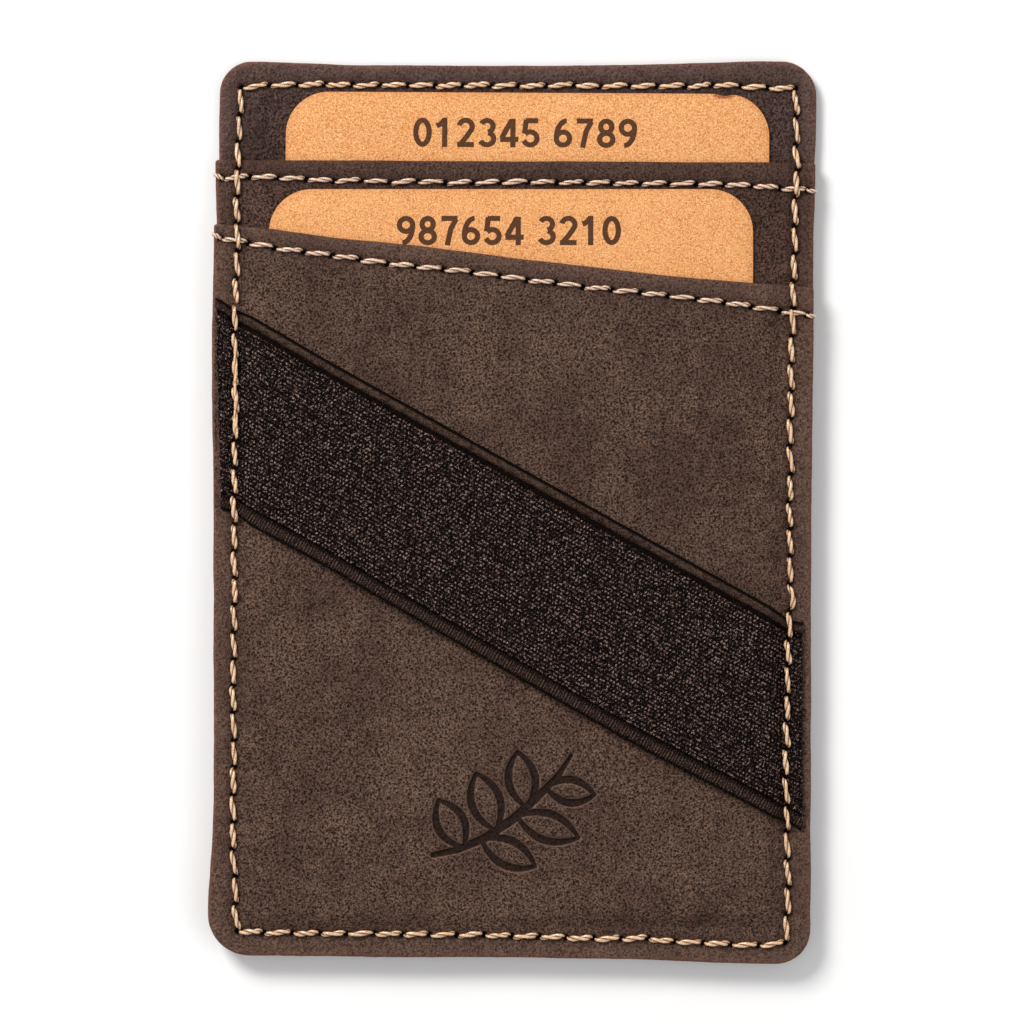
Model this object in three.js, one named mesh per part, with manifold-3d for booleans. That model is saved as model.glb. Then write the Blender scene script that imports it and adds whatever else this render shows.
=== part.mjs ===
// Stick-on card holder: three sewn leather sheets, an elastic strap and two card inserts.
//
// Three leather panels are stacked and lockstitched together round three
// sides. The two pocket panels stop short of the top, so that each one leaves
// a mouth for a card. A woven elastic strap for a finger crosses the front
// panel on a slant, its ends caught under the edge seam. The back carries a
// double-sided adhesive sheet, which is what the holder rests on or sticks by.
//
// Frame, in millimetres: X to the right and Y up towards the pocket mouths as
// the holder is seen from the front, Z out of the front. The origin is the
// centre of the outline, on the adhesive's outer face, at z = 0.

import * as THREE from "three";
import { mergeVertices } from "three/addons/utils/BufferGeometryUtils.js";
import Module from "manifold-3d";

// ---------------------------------------------------------------- dimensions

const ADHESIVE_T = 0.4; // adhesive sheet
const ADHESIVE_W = 58.4;
const ADHESIVE_H = 92.0;
const ADHESIVE_Y = 0.3; // height of its centre
const ADHESIVE_R = 4.0;

const BACK_T = 1.1; // back leather
const REAR_T = 0.9; // rear pocket leather
const FRONT_T = 1.0; // front pocket leather

const CARD_W = 54.0; // card inserts
const CARD_H = 81.5;
const CARD_T = 0.4;
const CARD_R = 4.8;
const UPPER_CARD = { x: 1.54, top: 46.8, turn: -0.31 }; // degrees
const LOWER_CARD = { x: -0.11, top: 36.0, turn: 0 };

const BAND_T = 1.0; // elastic, where it is free
const BAND_END_T = 0.75; // elastic, pressed under the seam
const BAND_LIFT = 0.5; // how far its middle stands off the leather

const THREAD_W = 0.7; // edge seam thread, as it lies
const THREAD_H = 0.33;
const HEM_W = 0.6; // pocket seam thread
const HEM_H = 0.3;
const CLEAR = 0.02; // between a thread and what it lies on
const GROOVE_D = 0.32; // how far an under-thread is drawn into the leather
const GROOVE_W = 0.8;

const MARK_Y = -33.3; // debossed sprig, height of its centre
const MARK_D = 0.3; // and how deep it is pressed
const MARK_W = 0.85; // width of its leaf lines
const MARK_STEM = [[-8.8, -4.9, 0.7], [-6.0, -4.3, 0.9], [-3.0, -3.0, 1.05], [0, -1.0, 1.1], [2.8, 1.5, 1.0], [5.2, 4.0, 0.8], [6.6, 6.2, 0.5]]; // x, y, width
const MARK_LEAVES = [ // base, tip and half width of each leaf
  [[-5.4, -4.1], [-8.2, 1.2], 1.5], [[-1.8, -2.2], [-4.0, 4.2], 1.6], [[1.6, 0.4], [0.6, 6.6], 1.5],
  [[-3.4, -3.2], [2.6, -6.2], 1.4], [[0.6, -0.6], [7.4, -3.0], 1.5], [[3.8, 2.6], [9.2, 1.8], 1.3],
];

const FLOOR_Y = -39.7; // seam across the rear pocket, under its cards
const FLOOR_X = [-27.0, 28.0];

// The pockets bulge over their cards between these lines. LINE_1 is where the
// leather leaves the sewn edge, LINE_2 is where it lies on the card.
const LEFT_1 = -30.1;
const LEFT_2 = -27.6;
const RIGHT_1 = 29.95;
const RIGHT_2 = 28.7;
const REAR_FLOOR_1 = -38.6;
const REAR_FLOOR_2 = -36.6;
const FRONT_FLOOR_1 = -46.4;
const FRONT_FLOOR_2 = -45.6;

// Heights of the stack.
const Z_BACK = ADHESIVE_T; // back face of the back leather
const Z_SEAT = Z_BACK + BACK_T; // front face of the back leather
const Z_REAR = Z_SEAT + REAR_T; // top of the rear pocket at its sewn edge
const Z_REAR_UP = Z_REAR + CARD_T; // over its card
const Z_FRONT = Z_REAR + FRONT_T; // top of the front pocket at its sewn edge
const Z_FRONT_UP = Z_FRONT + 2 * CARD_T; // over both cards
const Z_BAND_END = Z_FRONT + BAND_END_T; // top of the strap under the seam

// The outline, in pieces: [y, x] down the sides, [x, y] along the ends.
const BACK_LEFT = [[46.92, -32.56], [45.56, -32.68], [39.74, -32.7], [30.0, -32.8], [5.0, -33.0], [-32.39, -33.05], [-38.0, -33.35], [-43.68, -33.7]];
const BACK_RIGHT = [[45.56, 33.93], [41.45, 33.93], [37.35, 33.7], [27.09, 33.5], [5.0, 33.3], [-45.9, 33.1]];
const REAR_LEFT = [[39.3, -33.03], [37.35, -33.08], [32.5, -32.95], [5.0, -33.15], [-32.39, -33.15], [-38.0, -33.45], [-43.68, -33.8]];
const REAR_RIGHT = [[38.9, 33.83], [33.25, 33.69], [27.09, 33.58], [5.0, 33.36], [-45.9, 33.18]];
const FRONT_LEFT = [[32.05, -33.21], [25.04, -33.28], [18.89, -33.45], [12.74, -33.42], [-1.62, -33.25], [-32.39, -33.25], [-36.5, -33.38], [-40.6, -33.71], [-43.68, -33.9]];
const FRONT_RIGHT = [[25.0, 33.62], [19.91, 33.59], [12.74, 33.47], [-5.73, 33.32], [-45.9, 33.25]];
const TOP = [[-28.0, 50.27], [-24.19, 50.17], [-18.38, 49.88], [-8.12, 49.83], [9.32, 49.86], [19.57, 50.07], [27.44, 50.32]];
const BOTTOM = [[-28.5, -49.4], [-20.43, -49.52], [2.14, -49.66], [14.44, -49.86], [23.68, -50.21], [28.8, -50.34]];
const R_TOP_LEFT = 3.5;
const R_TOP_RIGHT = 3.9;
const R_BOTTOM_LEFT = 4.6;
const R_BOTTOM_RIGHT = 3.8;

// Pocket mouths, left to right, [x, y].
const REAR_MOUTH = [[-34, 39.3], [-23.16, 39.2], [0.09, 39.11], [12.74, 39.06], [34, 38.92]];
const FRONT_MOUTH = [[-34, 32.2], [-29.15, 31.76], [-26.92, 31.54], [-23.85, 31.09], [-19.74, 30.51], [-11.2, 29.68], [-6.41, 29.12], [0.77, 28.17], [9.15, 27.26], [17.52, 26.3], [26.58, 25.52], [34, 24.98]];

// Seams, [x, y].
const REAR_HEM = [[-34, 37.6], [-30.34, 37.52], [-28.12, 37.35], [-25.38, 37.18], [-19.57, 36.92], [-13.59, 36.8], [2.65, 36.75], [15.64, 36.62], [25.21, 36.5], [28.29, 36.32], [31.2, 36.02], [34, 35.81]];
const FRONT_HEM = [[-34, 30.9], [-30.85, 30.15], [-28.12, 29.66], [-22.65, 28.82], [-13.42, 27.63], [-0.94, 26.15], [11.71, 24.7], [24.36, 23.25], [30.34, 22.3], [34, 21.75]];
const SEAM_TOP = [[-29.6, 47.5], [-24.87, 47.78], [-19.57, 47.73], [-8.8, 47.61], [15.13, 47.61], [30.6, 47.45]];
const SEAM_BOTTOM = [[29.4, -48.12], [25.9, -48.22], [19.91, -47.93], [13.93, -47.57], [1.97, -47.26], [-14.27, -47.01], [-29.3, -46.89]];
const SEAM_LEFT = [[46.6, -30.25], [42.82, -30.44], [38.03, -30.56], [31.2, -30.68], [24.19, -30.72], [19.91, -30.85], [2.82, -30.85], [-0.26, -30.97], [-38.21, -31.03], [-46.0, -30.72]]; // [y, x]
const SEAM_RIGHT = [[46.4, 31.72], [37.01, 31.76], [33.76, 31.59], [24.87, 31.4], [17.69, 31.11], [1.62, 30.94], [-11.71, 30.94], [-15.81, 30.75], [-30.68, 30.53], [-39.91, 30.7], [-45.9, 30.6]]; // [y, x]

// Strap edges, [x, y].
const BAND_TOP = [[-33.25, 24.36], [-30.34, 22.65], [-20.77, 17.01], [-11.2, 11.71], [0.77, 5.04], [12.74, -1.62], [19.91, -5.56], [30.68, -11.54], [32.39, -12.56]];
const BAND_BOTTOM = [[-33.25, 0.77], [-30.51, -0.77], [-20.77, -6.07], [-12.91, -10.68], [0.77, -18.55], [15.13, -26.75], [27.09, -32.91], [30.0, -34.62], [32.39, -35.98]];
const BAND_LEFT_X = -33.1;
const BAND_RIGHT_X = 32.39;

// ------------------------------------------------------------------- helpers

// Value of a table of [key, value] rows at t, straight between rows.
function at(table, t) {
  const rows = table[0][0] <= table[table.length - 1][0] ? table : [...table].reverse();
  if (t <= rows[0][0]) return rows[0][1];
  for (let i = 1; i < rows.length; i++)
    if (t <= rows[i][0]) {
      const [k0, v0] = rows[i - 1];
      const [k1, v1] = rows[i];
      return v0 + ((v1 - v0) * (t - k0)) / (k1 - k0);
    }
  return rows[rows.length - 1][1];
}

// A mesh geometry from vertices [x, y, z] and triangles.
function geometry(vertices, triangles) {
  const g = new THREE.BufferGeometry();
  g.setAttribute("position", new THREE.Float32BufferAttribute(vertices.flat(), 3));
  g.setIndex(triangles.flat());
  return g;
}

// Points of a quarter arc about [cx, cy] from angle a0 to a1, in degrees.
function arc(cx, cy, r, a0, a1, n) {
  const out = [];
  for (let i = 0; i <= n; i++) {
    const a = ((a0 + ((a1 - a0) * i) / n) * Math.PI) / 180;
    out.push([cx + r * Math.cos(a), cy + r * Math.sin(a)]);
  }
  return out;
}

// A flat plate of a closed outline, counterclockwise.
function plate(outline, z, thickness) {
  const shape = new THREE.Shape(outline.map(([x, y]) => new THREE.Vector2(x, y)));
  const g = new THREE.ExtrudeGeometry(shape, { depth: thickness, bevelEnabled: false });
  g.translate(0, 0, z);
  return g;
}

function roundedRectangle(w, h, r, n) {
  return [
    ...arc(w / 2 - r, h / 2 - r, r, 0, 90, n),
    ...arc(-w / 2 + r, h / 2 - r, r, 90, 180, n),
    ...arc(-w / 2 + r, -h / 2 + r, r, 180, 270, n),
    ...arc(w / 2 - r, -h / 2 + r, r, 270, 360, n),
  ];
}

// The sides and bottom of a panel as one line from its left mouth corner down,
// round and up to its right mouth corner. The heights of the side stations and
// the count of corner points are fixed, so that two such lines can be joined
// point to point.
const SIDE_Y = [20, 8, -4, -16, -28, -38];
const END_X = [-20, -8, 2, 14, 22];
const CORNER_N = 6;

function uLine(leftX, rightX, bottomY, rLeft, rRight, mouth) {
  const line = [];
  let x = leftX(mouth[0][1]);
  line.push([x, at(mouth, x)]);
  for (const y of SIDE_Y) line.push([leftX(y), y]);
  const yl = bottomY(leftX(-44) + rLeft);
  line.push(...arc(leftX(-44) + rLeft, yl + rLeft, rLeft, 180, 270, CORNER_N));
  for (const ex of END_X) line.push([ex, bottomY(ex)]);
  const yr = bottomY(rightX(-44) - rRight);
  line.push(...arc(rightX(-44) - rRight, yr + rRight, rRight, 270, 360, CORNER_N));
  for (const y of [...SIDE_Y].reverse()) line.push([rightX(y), y]);
  x = rightX(mouth[mouth.length - 1][1]);
  line.push([x, at(mouth, x)]);
  return line;
}

// A pocket panel: a sheet of one thickness whose sewn edge lies at height zEdge
// and whose middle lies on the card at zUp, open at the mouth.
function pocketPanel(lines, mouth, zEdge, zUp, thickness) {
  const [l0, l1, l2] = lines;
  const n = l0.length;
  const vertices = [];
  const add = (p, z) => vertices.push([p[0], p[1], z]) - 1;
  const under = lines.map((l, k) => l.map((p) => add(p, k === 2 ? zUp : zEdge)));
  const over = lines.map((l, k) => l.map((p) => add(p, (k === 2 ? zUp : zEdge) + thickness)));
  const between = mouth.filter(([x]) => x > l2[0][0] + 0.4 && x < l2[n - 1][0] - 0.4);
  const mouthUnder = between.map((p) => add(p, zUp));
  const mouthOver = between.map((p) => add(p, zUp + thickness));
  const triangles = [];
  for (let k = 0; k < 2; k++)
    for (let i = 0; i + 1 < n; i++) {
      // the lines run counterclockwise, with the next line inside this one
      const [a, b, c, d] = [over[k][i], over[k][i + 1], over[k + 1][i + 1], over[k + 1][i]];
      triangles.push([a, b, c], [a, c, d]);
      const [e, f, g, h] = [under[k][i], under[k][i + 1], under[k + 1][i + 1], under[k + 1][i]];
      triangles.push([e, g, f], [e, h, g]);
    }
  const ringOver = [...over[2], ...[...mouthOver].reverse()];
  const ringUnder = [...under[2], ...[...mouthUnder].reverse()];
  const flat = ringOver.map((i) => new THREE.Vector2(vertices[i][0], vertices[i][1]));
  for (const [a, b, c] of THREE.ShapeUtils.triangulateShape(flat, [])) {
    triangles.push([ringOver[a], ringOver[b], ringOver[c]]);
    triangles.push([ringUnder[a], ringUnder[c], ringUnder[b]]);
  }
  // the cut edge: round the outline, then back along the mouth
  const rimOver = [...over[0], over[1][n - 1], over[2][n - 1], ...[...mouthOver].reverse(), over[2][0], over[1][0]];
  const rimUnder = [...under[0], under[1][n - 1], under[2][n - 1], ...[...mouthUnder].reverse(), under[2][0], under[1][0]];
  for (let i = 0; i < rimOver.length; i++) {
    const j = (i + 1) % rimOver.length;
    triangles.push([rimUnder[i], rimUnder[j], rimOver[j]], [rimUnder[i], rimOver[j], rimOver[i]]);
  }
  return geometry(vertices, triangles);
}

// A strip of rectangular section. Each station is [left, right] points with a
// height for its underside.
function strip(stations, height, closed) {
  const vertices = [];
  for (const { left, right, z } of stations)
    vertices.push([...right, z], [...left, z], [...left, z + height], [...right, z + height]);
  const triangles = [];
  const n = stations.length;
  for (let i = 0; i < (closed ? n : n - 1); i++) {
    const a = i * 4;
    const b = ((i + 1) % n) * 4;
    for (let k = 0; k < 4; k++) {
      const m = (k + 1) % 4;
      triangles.push([a + k, b + m, b + k], [a + k, a + m, b + m]);
    }
  }
  if (!closed) {
    const e = (n - 1) * 4;
    triangles.push([0, 2, 1], [0, 3, 2], [e, e + 1, e + 2], [e, e + 2, e + 3]);
  }
  return geometry(vertices, triangles);
}

// A thread along a line that runs left to right, with its section cut straight
// across the holder, so that it lies flat on a surface that rises with x.
function hemStrip(line, xs, z, width, height) {
  return strip(
    xs.map((x) => ({ left: [x, at(line, x) + width / 2], right: [x, at(line, x) - width / 2], z: z(x) })),
    height,
    false,
  );
}

const wasm = await Module();
wasm.setup();

function toSolid(g) {
  const bare = new THREE.BufferGeometry();
  bare.setAttribute("position", g.getAttribute("position"));
  if (g.index) bare.setIndex(g.index);
  const merged = mergeVertices(bare, 1e-4);
  return new wasm.Manifold(
    new wasm.Mesh({
      numProp: 3,
      vertProperties: new Float32Array(merged.getAttribute("position").array),
      triVerts: new Uint32Array(merged.index.array),
    }),
  );
}

function cut(g, tool) {
  const mesh = toSolid(g).subtract(toSolid(tool)).getMesh();
  const out = new THREE.BufferGeometry();
  out.setAttribute("position", new THREE.BufferAttribute(new Float32Array(mesh.vertProperties), 3));
  out.setIndex(new THREE.BufferAttribute(new Uint32Array(mesh.triVerts), 1));
  return out;
}

// ----------------------------------------------------------------- materials

const leather = (color) => new THREE.MeshStandardMaterial({ color, roughness: 0.78, metalness: 0 });
const BACK_LEATHER = leather(0x43332f);
const REAR_LEATHER = leather(0x4b3a33);
const FRONT_LEATHER = leather(0x4e3c34);
const ELASTIC = new THREE.MeshStandardMaterial({ color: 0x2a201e, roughness: 0.9, metalness: 0 });
const CARD = new THREE.MeshStandardMaterial({ color: 0xeda568, roughness: 0.85, metalness: 0 });
const THREAD = new THREE.MeshStandardMaterial({ color: 0xe0be96, roughness: 0.6, metalness: 0 });
const ADHESIVE = new THREE.MeshStandardMaterial({ color: 0x2b2b2c, roughness: 0.5, metalness: 0 });

const holder = new THREE.Group();

function piece(name, g, material) {
  const mesh = new THREE.Mesh(g, material);
  mesh.name = name;
  holder.add(mesh);
  return mesh;
}

// ------------------------------------------------------------------ adhesive

const adhesive = piece(
  "adhesive_sheet",
  plate(roundedRectangle(ADHESIVE_W, ADHESIVE_H, ADHESIVE_R, 6), 0, ADHESIVE_T),
  ADHESIVE,
);
adhesive.position.set(0, ADHESIVE_Y, 0);

// ---------------------------------------------------------------- back panel

const topLeft = arc(at(BACK_LEFT, 47) + R_TOP_LEFT, at(TOP, -29) - R_TOP_LEFT, R_TOP_LEFT, 90, 180, CORNER_N);
const topRight = arc(at(BACK_RIGHT, 47) - R_TOP_RIGHT, at(TOP, 30) - R_TOP_RIGHT, R_TOP_RIGHT, 0, 90, CORNER_N);
const backOutline = [
  ...topRight,
  ...[...TOP].reverse(),
  ...topLeft,
  ...[41, 30, ...SIDE_Y].map((y) => [at(BACK_LEFT, y), y]),
  ...arc(at(BACK_LEFT, -44) + R_BOTTOM_LEFT, at(BOTTOM, -29) + 0.12 + R_BOTTOM_LEFT, R_BOTTOM_LEFT, 180, 270, CORNER_N),
  ...END_X.map((x) => [x, at(BOTTOM, x) + 0.12]),
  ...arc(at(BACK_RIGHT, -44) - R_BOTTOM_RIGHT, at(BOTTOM, 29) + 0.12 + R_BOTTOM_RIGHT, R_BOTTOM_RIGHT, 270, 360, CORNER_N),
  ...[...[41, 30, ...SIDE_Y]].reverse().map((y) => [at(BACK_RIGHT, y), y]),
];
const floorLine = [[FLOOR_X[0], FLOOR_Y], [FLOOR_X[1], FLOOR_Y]];
const floorGroove = hemStrip(floorLine, [FLOOR_X[0] - 0.4, FLOOR_X[1] + 0.4], () => Z_BACK - 0.3, GROOVE_W, 0.3 + GROOVE_D);
piece("back_panel", cut(plate(backOutline, Z_BACK, BACK_T), floorGroove), BACK_LEATHER);

// --------------------------------------------------------------- rear pocket

const rearLines = [
  uLine((y) => at(REAR_LEFT, y), (y) => at(REAR_RIGHT, y), (x) => at(BOTTOM, x) + 0.06, R_BOTTOM_LEFT, R_BOTTOM_RIGHT, REAR_MOUTH),
  uLine(() => LEFT_1, () => RIGHT_1, () => REAR_FLOOR_1, 0.6, 0.6, REAR_MOUTH),
  uLine(() => LEFT_2, () => RIGHT_2, () => REAR_FLOOR_2, 0.3, 0.3, REAR_MOUTH),
];
// the side stations below the pocket's floor would fold back on themselves
for (const line of rearLines.slice(1))
  line.forEach((p) => {
    const floor = line === rearLines[1] ? REAR_FLOOR_1 + 0.6 : REAR_FLOOR_2 + 0.3;
    if (p[1] < -30 && p[1] < floor + 0.6 && Math.abs(p[0]) > 27.5 && (p[0] === LEFT_1 || p[0] === LEFT_2 || p[0] === RIGHT_1 || p[0] === RIGHT_2))
      p[1] = Math.max(p[1], floor);
  });
const HEM_XS = [-20, -10, 0, 10, 20];
const rearUnder = (x) => (x <= LEFT_1 || x >= RIGHT_1 ? Z_SEAT : x < LEFT_2 ? Z_SEAT + (CARD_T * (x - LEFT_1)) / (LEFT_2 - LEFT_1) : x > RIGHT_2 ? Z_SEAT + (CARD_T * (RIGHT_1 - x)) / (RIGHT_1 - RIGHT_2) : Z_SEAT + CARD_T);
const rearHemXs = [-32.3, LEFT_1, LEFT_2, ...HEM_XS, RIGHT_2, RIGHT_1, 33.0];
const rearGroove = hemStrip(REAR_HEM, rearHemXs, (x) => rearUnder(x) - 0.3, GROOVE_W, 0.3 + GROOVE_D);
piece("rear_pocket_panel", cut(pocketPanel(rearLines, REAR_MOUTH, Z_SEAT, Z_SEAT + CARD_T, REAR_T), rearGroove), REAR_LEATHER);

// -------------------------------------------------------------- front pocket

const frontLines = [
  uLine((y) => at(FRONT_LEFT, y), (y) => at(FRONT_RIGHT, y), (x) => at(BOTTOM, x), R_BOTTOM_LEFT, R_BOTTOM_RIGHT, FRONT_MOUTH),
  uLine(() => LEFT_1, () => RIGHT_1, () => FRONT_FLOOR_1, 1.2, 1.2, FRONT_MOUTH),
  uLine(() => LEFT_2, () => RIGHT_2, () => FRONT_FLOOR_2, 0.6, 0.6, FRONT_MOUTH),
];
const frontUnder = (x) => (x <= LEFT_1 || x >= RIGHT_1 ? Z_REAR : x < LEFT_2 ? Z_REAR + (2 * CARD_T * (x - LEFT_1)) / (LEFT_2 - LEFT_1) : x > RIGHT_2 ? Z_REAR + (2 * CARD_T * (RIGHT_1 - x)) / (RIGHT_1 - RIGHT_2) : Z_REAR + 2 * CARD_T);
const frontHemXs = [-32.5, LEFT_1, LEFT_2, ...HEM_XS, RIGHT_2, RIGHT_1, 32.9];
const frontGroove = hemStrip(FRONT_HEM, frontHemXs, (x) => frontUnder(x) - 0.3, GROOVE_W, 0.3 + GROOVE_D);

// The debossed sprig: a stem and the two edges of each leaf, as pressed lines.
function pressedLine(points) {
  const left = [];
  const right = [];
  points.forEach(([x, y, w], i) => {
    const a = points[Math.max(0, i - 1)];
    const b = points[Math.min(points.length - 1, i + 1)];
    const d = new THREE.Vector2(b[0] - a[0], b[1] - a[1]).normalize();
    if (i === 0) left.push([x - (d.x * w) / 2, y + MARK_Y - (d.y * w) / 2]);
    left.push([x + (d.y * w) / 2, y + MARK_Y - (d.x * w) / 2]);
    right.unshift([x - (d.y * w) / 2, y + MARK_Y + (d.x * w) / 2]);
    if (i === points.length - 1) right.unshift([x + (d.x * w) / 2, y + MARK_Y + (d.y * w) / 2]);
  });
  return plate([...left, ...right], Z_FRONT_UP - MARK_D, 1);
}
const markLines = [MARK_STEM];
for (const [base, tip, bulge] of MARK_LEAVES)
  for (const side of [1, -1]) {
    const d = new THREE.Vector2(tip[0] - base[0], tip[1] - base[1]).normalize();
    const cx = (base[0] + tip[0]) / 2 - side * d.y * bulge * 2;
    const cy = (base[1] + tip[1]) / 2 + side * d.x * bulge * 2;
    markLines.push([0, 1, 2, 3, 4, 5, 6].map((i) => {
      const t = i / 6;
      const u = 1 - t;
      return [u * u * base[0] + 2 * u * t * cx + t * t * tip[0], u * u * base[1] + 2 * u * t * cy + t * t * tip[1], MARK_W];
    }));
  }
let front = cut(pocketPanel(frontLines, FRONT_MOUTH, Z_REAR, Z_REAR + 2 * CARD_T, FRONT_T), frontGroove);
for (const line of markLines) front = cut(front, pressedLine(line));
piece("front_pocket_panel", front, FRONT_LEATHER);

// --------------------------------------------------------------- card inserts

for (const [name, card, z] of [["upper_card_insert", UPPER_CARD, Z_SEAT], ["lower_card_insert", LOWER_CARD, Z_REAR_UP]]) {
  const mesh = piece(name, plate(roundedRectangle(CARD_W, CARD_H, CARD_R, 6), 0, CARD_T), CARD);
  mesh.position.set(card.x, card.top - CARD_H / 2, z);
  mesh.rotation.z = THREE.MathUtils.degToRad(card.turn);
}

// --------------------------------------------------------------------- strap

const BAND_UNDER = [
  [BAND_LEFT_X, Z_FRONT], [LEFT_1 - 0.05, Z_FRONT], [LEFT_2, Z_FRONT_UP + 0.1], [-20, Z_FRONT_UP + 0.65 * BAND_LIFT],
  [-10, Z_FRONT_UP + BAND_LIFT], [10, Z_FRONT_UP + BAND_LIFT], [20, Z_FRONT_UP + 0.65 * BAND_LIFT],
  [RIGHT_2, Z_FRONT_UP + 0.1], [RIGHT_1 + 0.05, Z_FRONT], [BAND_RIGHT_X, Z_FRONT],
];
const BAND_OVER = [
  [BAND_LEFT_X, Z_BAND_END], [LEFT_1 - 0.05, Z_BAND_END], [LEFT_2, Z_FRONT_UP + 0.1 + BAND_T], [-20, Z_FRONT_UP + 0.65 * BAND_LIFT + BAND_T],
  [-10, Z_FRONT_UP + BAND_LIFT + BAND_T], [10, Z_FRONT_UP + BAND_LIFT + BAND_T], [20, Z_FRONT_UP + 0.65 * BAND_LIFT + BAND_T],
  [RIGHT_2, Z_FRONT_UP + 0.1 + BAND_T], [RIGHT_1 + 0.05, Z_BAND_END], [BAND_RIGHT_X, Z_BAND_END],
];
{
  const xs = [BAND_LEFT_X, LEFT_1 - 0.05, LEFT_2, -20, -10, 0, 10, 20, RIGHT_2, RIGHT_1 + 0.05, BAND_RIGHT_X];
  const vertices = [];
  const triangles = [];
  xs.forEach((x) => {
    const [lo, hi] = [at(BAND_BOTTOM, x), at(BAND_TOP, x)];
    const [under, over] = [at(BAND_UNDER, x), at(BAND_OVER, x)];
    vertices.push([x, lo, under], [x, hi, under], [x, hi, over], [x, lo, over]);
  });
  for (let i = 0; i + 1 < xs.length; i++)
    for (let k = 0; k < 4; k++) {
      const [a, b, m] = [i * 4, (i + 1) * 4, (k + 1) % 4];
      triangles.push([a + k, b + m, b + k], [a + k, a + m, b + m]);
    }
  const e = (xs.length - 1) * 4;
  triangles.push([0, 2, 1], [0, 3, 2], [e, e + 1, e + 2], [e, e + 2, e + 3]);
  piece("elastic_band", geometry(vertices, triangles), ELASTIC);
}

// --------------------------------------------------------------------- seams

// Edge seam: clockwise from the top left corner as seen from the front. Each
// side has the heights at which the thread climbs onto a panel, a hem or the
// strap, as [y, underside].
const LOW = Z_SEAT + CLEAR;
const MID = Z_REAR + CLEAR;
const HIGH = Z_FRONT + CLEAR;
const ON_REAR_HEM = Z_REAR + CLEAR + HEM_H + CLEAR;
const ON_FRONT_HEM = Z_FRONT + CLEAR + HEM_H + CLEAR;
const ON_BAND = Z_BAND_END + CLEAR;

function climb(x, mouthRear, hemRear, mouthFront, hemFront, bandTop, bandBottom) {
  return [
    [mouthRear + 0.95, LOW], [mouthRear + 0.15, MID],
    [hemRear + 0.5, ON_REAR_HEM], [hemRear - 0.5, ON_REAR_HEM], [hemRear - 1.3, MID],
    [mouthFront + 1.0, MID], [mouthFront + 0.2, HIGH],
    [hemFront + 0.6, ON_FRONT_HEM], [hemFront - 0.6, ON_FRONT_HEM], [hemFront - 1.4, HIGH],
    [bandTop + 1.3, HIGH], [bandTop + 0.35, ON_BAND],
    [bandBottom - 0.4, ON_BAND], [bandBottom - 1.4, HIGH],
  ];
}
const leftClimb = climb(-30.7, at(REAR_MOUTH, -30.55), at(REAR_HEM, -30.55), at(FRONT_MOUTH, -30.65), at(FRONT_HEM, -30.7), at(BAND_TOP, -30.8), at(BAND_BOTTOM, -30.95));
const rightClimb = climb(31.4, at(REAR_MOUTH, 31.7), at(REAR_HEM, 31.7), at(FRONT_MOUTH, 31.4), at(FRONT_HEM, 31.3), at(BAND_TOP, 30.9), at(BAND_BOTTOM, 30.55));

const seamPath = [];
for (const [x, y] of SEAM_TOP) seamPath.push([x, y, LOW]);
{
  const ys = [...SEAM_RIGHT.map((p) => p[0]), ...rightClimb.map((p) => p[0])].sort((a, b) => b - a);
  let last = 99;
  for (const y of ys) {
    const stays = rightClimb.some((p) => p[0] === y);
    if (last - y < 0.5 && !stays) continue;
    seamPath.push([at(SEAM_RIGHT, y), y, at(rightClimb, y)]);
    last = y;
  }
}
for (const [x, y] of SEAM_BOTTOM) seamPath.push([x, y, HIGH]);
{
  const ys = [...SEAM_LEFT.map((p) => p[0]), ...leftClimb.map((p) => p[0])].sort((a, b) => a - b);
  let last = -99;
  for (const y of ys) {
    const stays = leftClimb.some((p) => p[0] === y);
    if (y - last < 0.5 && !stays) continue;
    seamPath.push([at(SEAM_LEFT, y), y, at(leftClimb, y)]);
    last = y;
  }
}

// Stations across a closed clockwise path, mitred.
function ring(path, width) {
  const n = path.length;
  return path.map((p, i) => {
    const a = path[(i + n - 1) % n];
    const b = path[(i + 1) % n];
    const d0 = new THREE.Vector2(p[0] - a[0], p[1] - a[1]).normalize();
    const d1 = new THREE.Vector2(b[0] - p[0], b[1] - p[1]).normalize();
    const t = d0.clone().add(d1).normalize();
    const half = width / 2 / Math.max(0.6, t.dot(d1));
    return { left: [p[0] - t.y * half, p[1] + t.x * half], right: [p[0] + t.y * half, p[1] - t.x * half], z: p[2] };
  });
}

piece("perimeter_needle_thread", strip(ring(seamPath, THREAD_W), THREAD_H, true), THREAD);
piece(
  "perimeter_bobbin_thread",
  strip(ring(seamPath.map(([x, y]) => [x, y, Z_BACK - CLEAR - THREAD_H]), THREAD_W), THREAD_H, true),
  THREAD,
);

// Pocket hems: the needle thread lies on the leather and ends at the panel's
// edges, the under-thread is drawn into its inner face.
piece(
  "rear_hem_needle_thread",
  hemStrip(REAR_HEM, [-32.95, LEFT_1, LEFT_2, ...HEM_XS, RIGHT_2, RIGHT_1, 33.6], (x) => rearUnder(x) + REAR_T + CLEAR, HEM_W, HEM_H),
  THREAD,
);
piece(
  "rear_hem_bobbin_thread",
  hemStrip(REAR_HEM, [-31.9, LEFT_1, LEFT_2, ...HEM_XS, RIGHT_2, RIGHT_1, 32.6], (x) => rearUnder(x) + CLEAR, HEM_W, GROOVE_D - 2 * CLEAR),
  THREAD,
);
piece(
  "front_hem_needle_thread",
  hemStrip(FRONT_HEM, [-33.1, LEFT_1, LEFT_2, ...HEM_XS, RIGHT_2, RIGHT_1, 33.5], (x) => frontUnder(x) + FRONT_T + CLEAR, HEM_W, HEM_H),
  THREAD,
);
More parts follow.
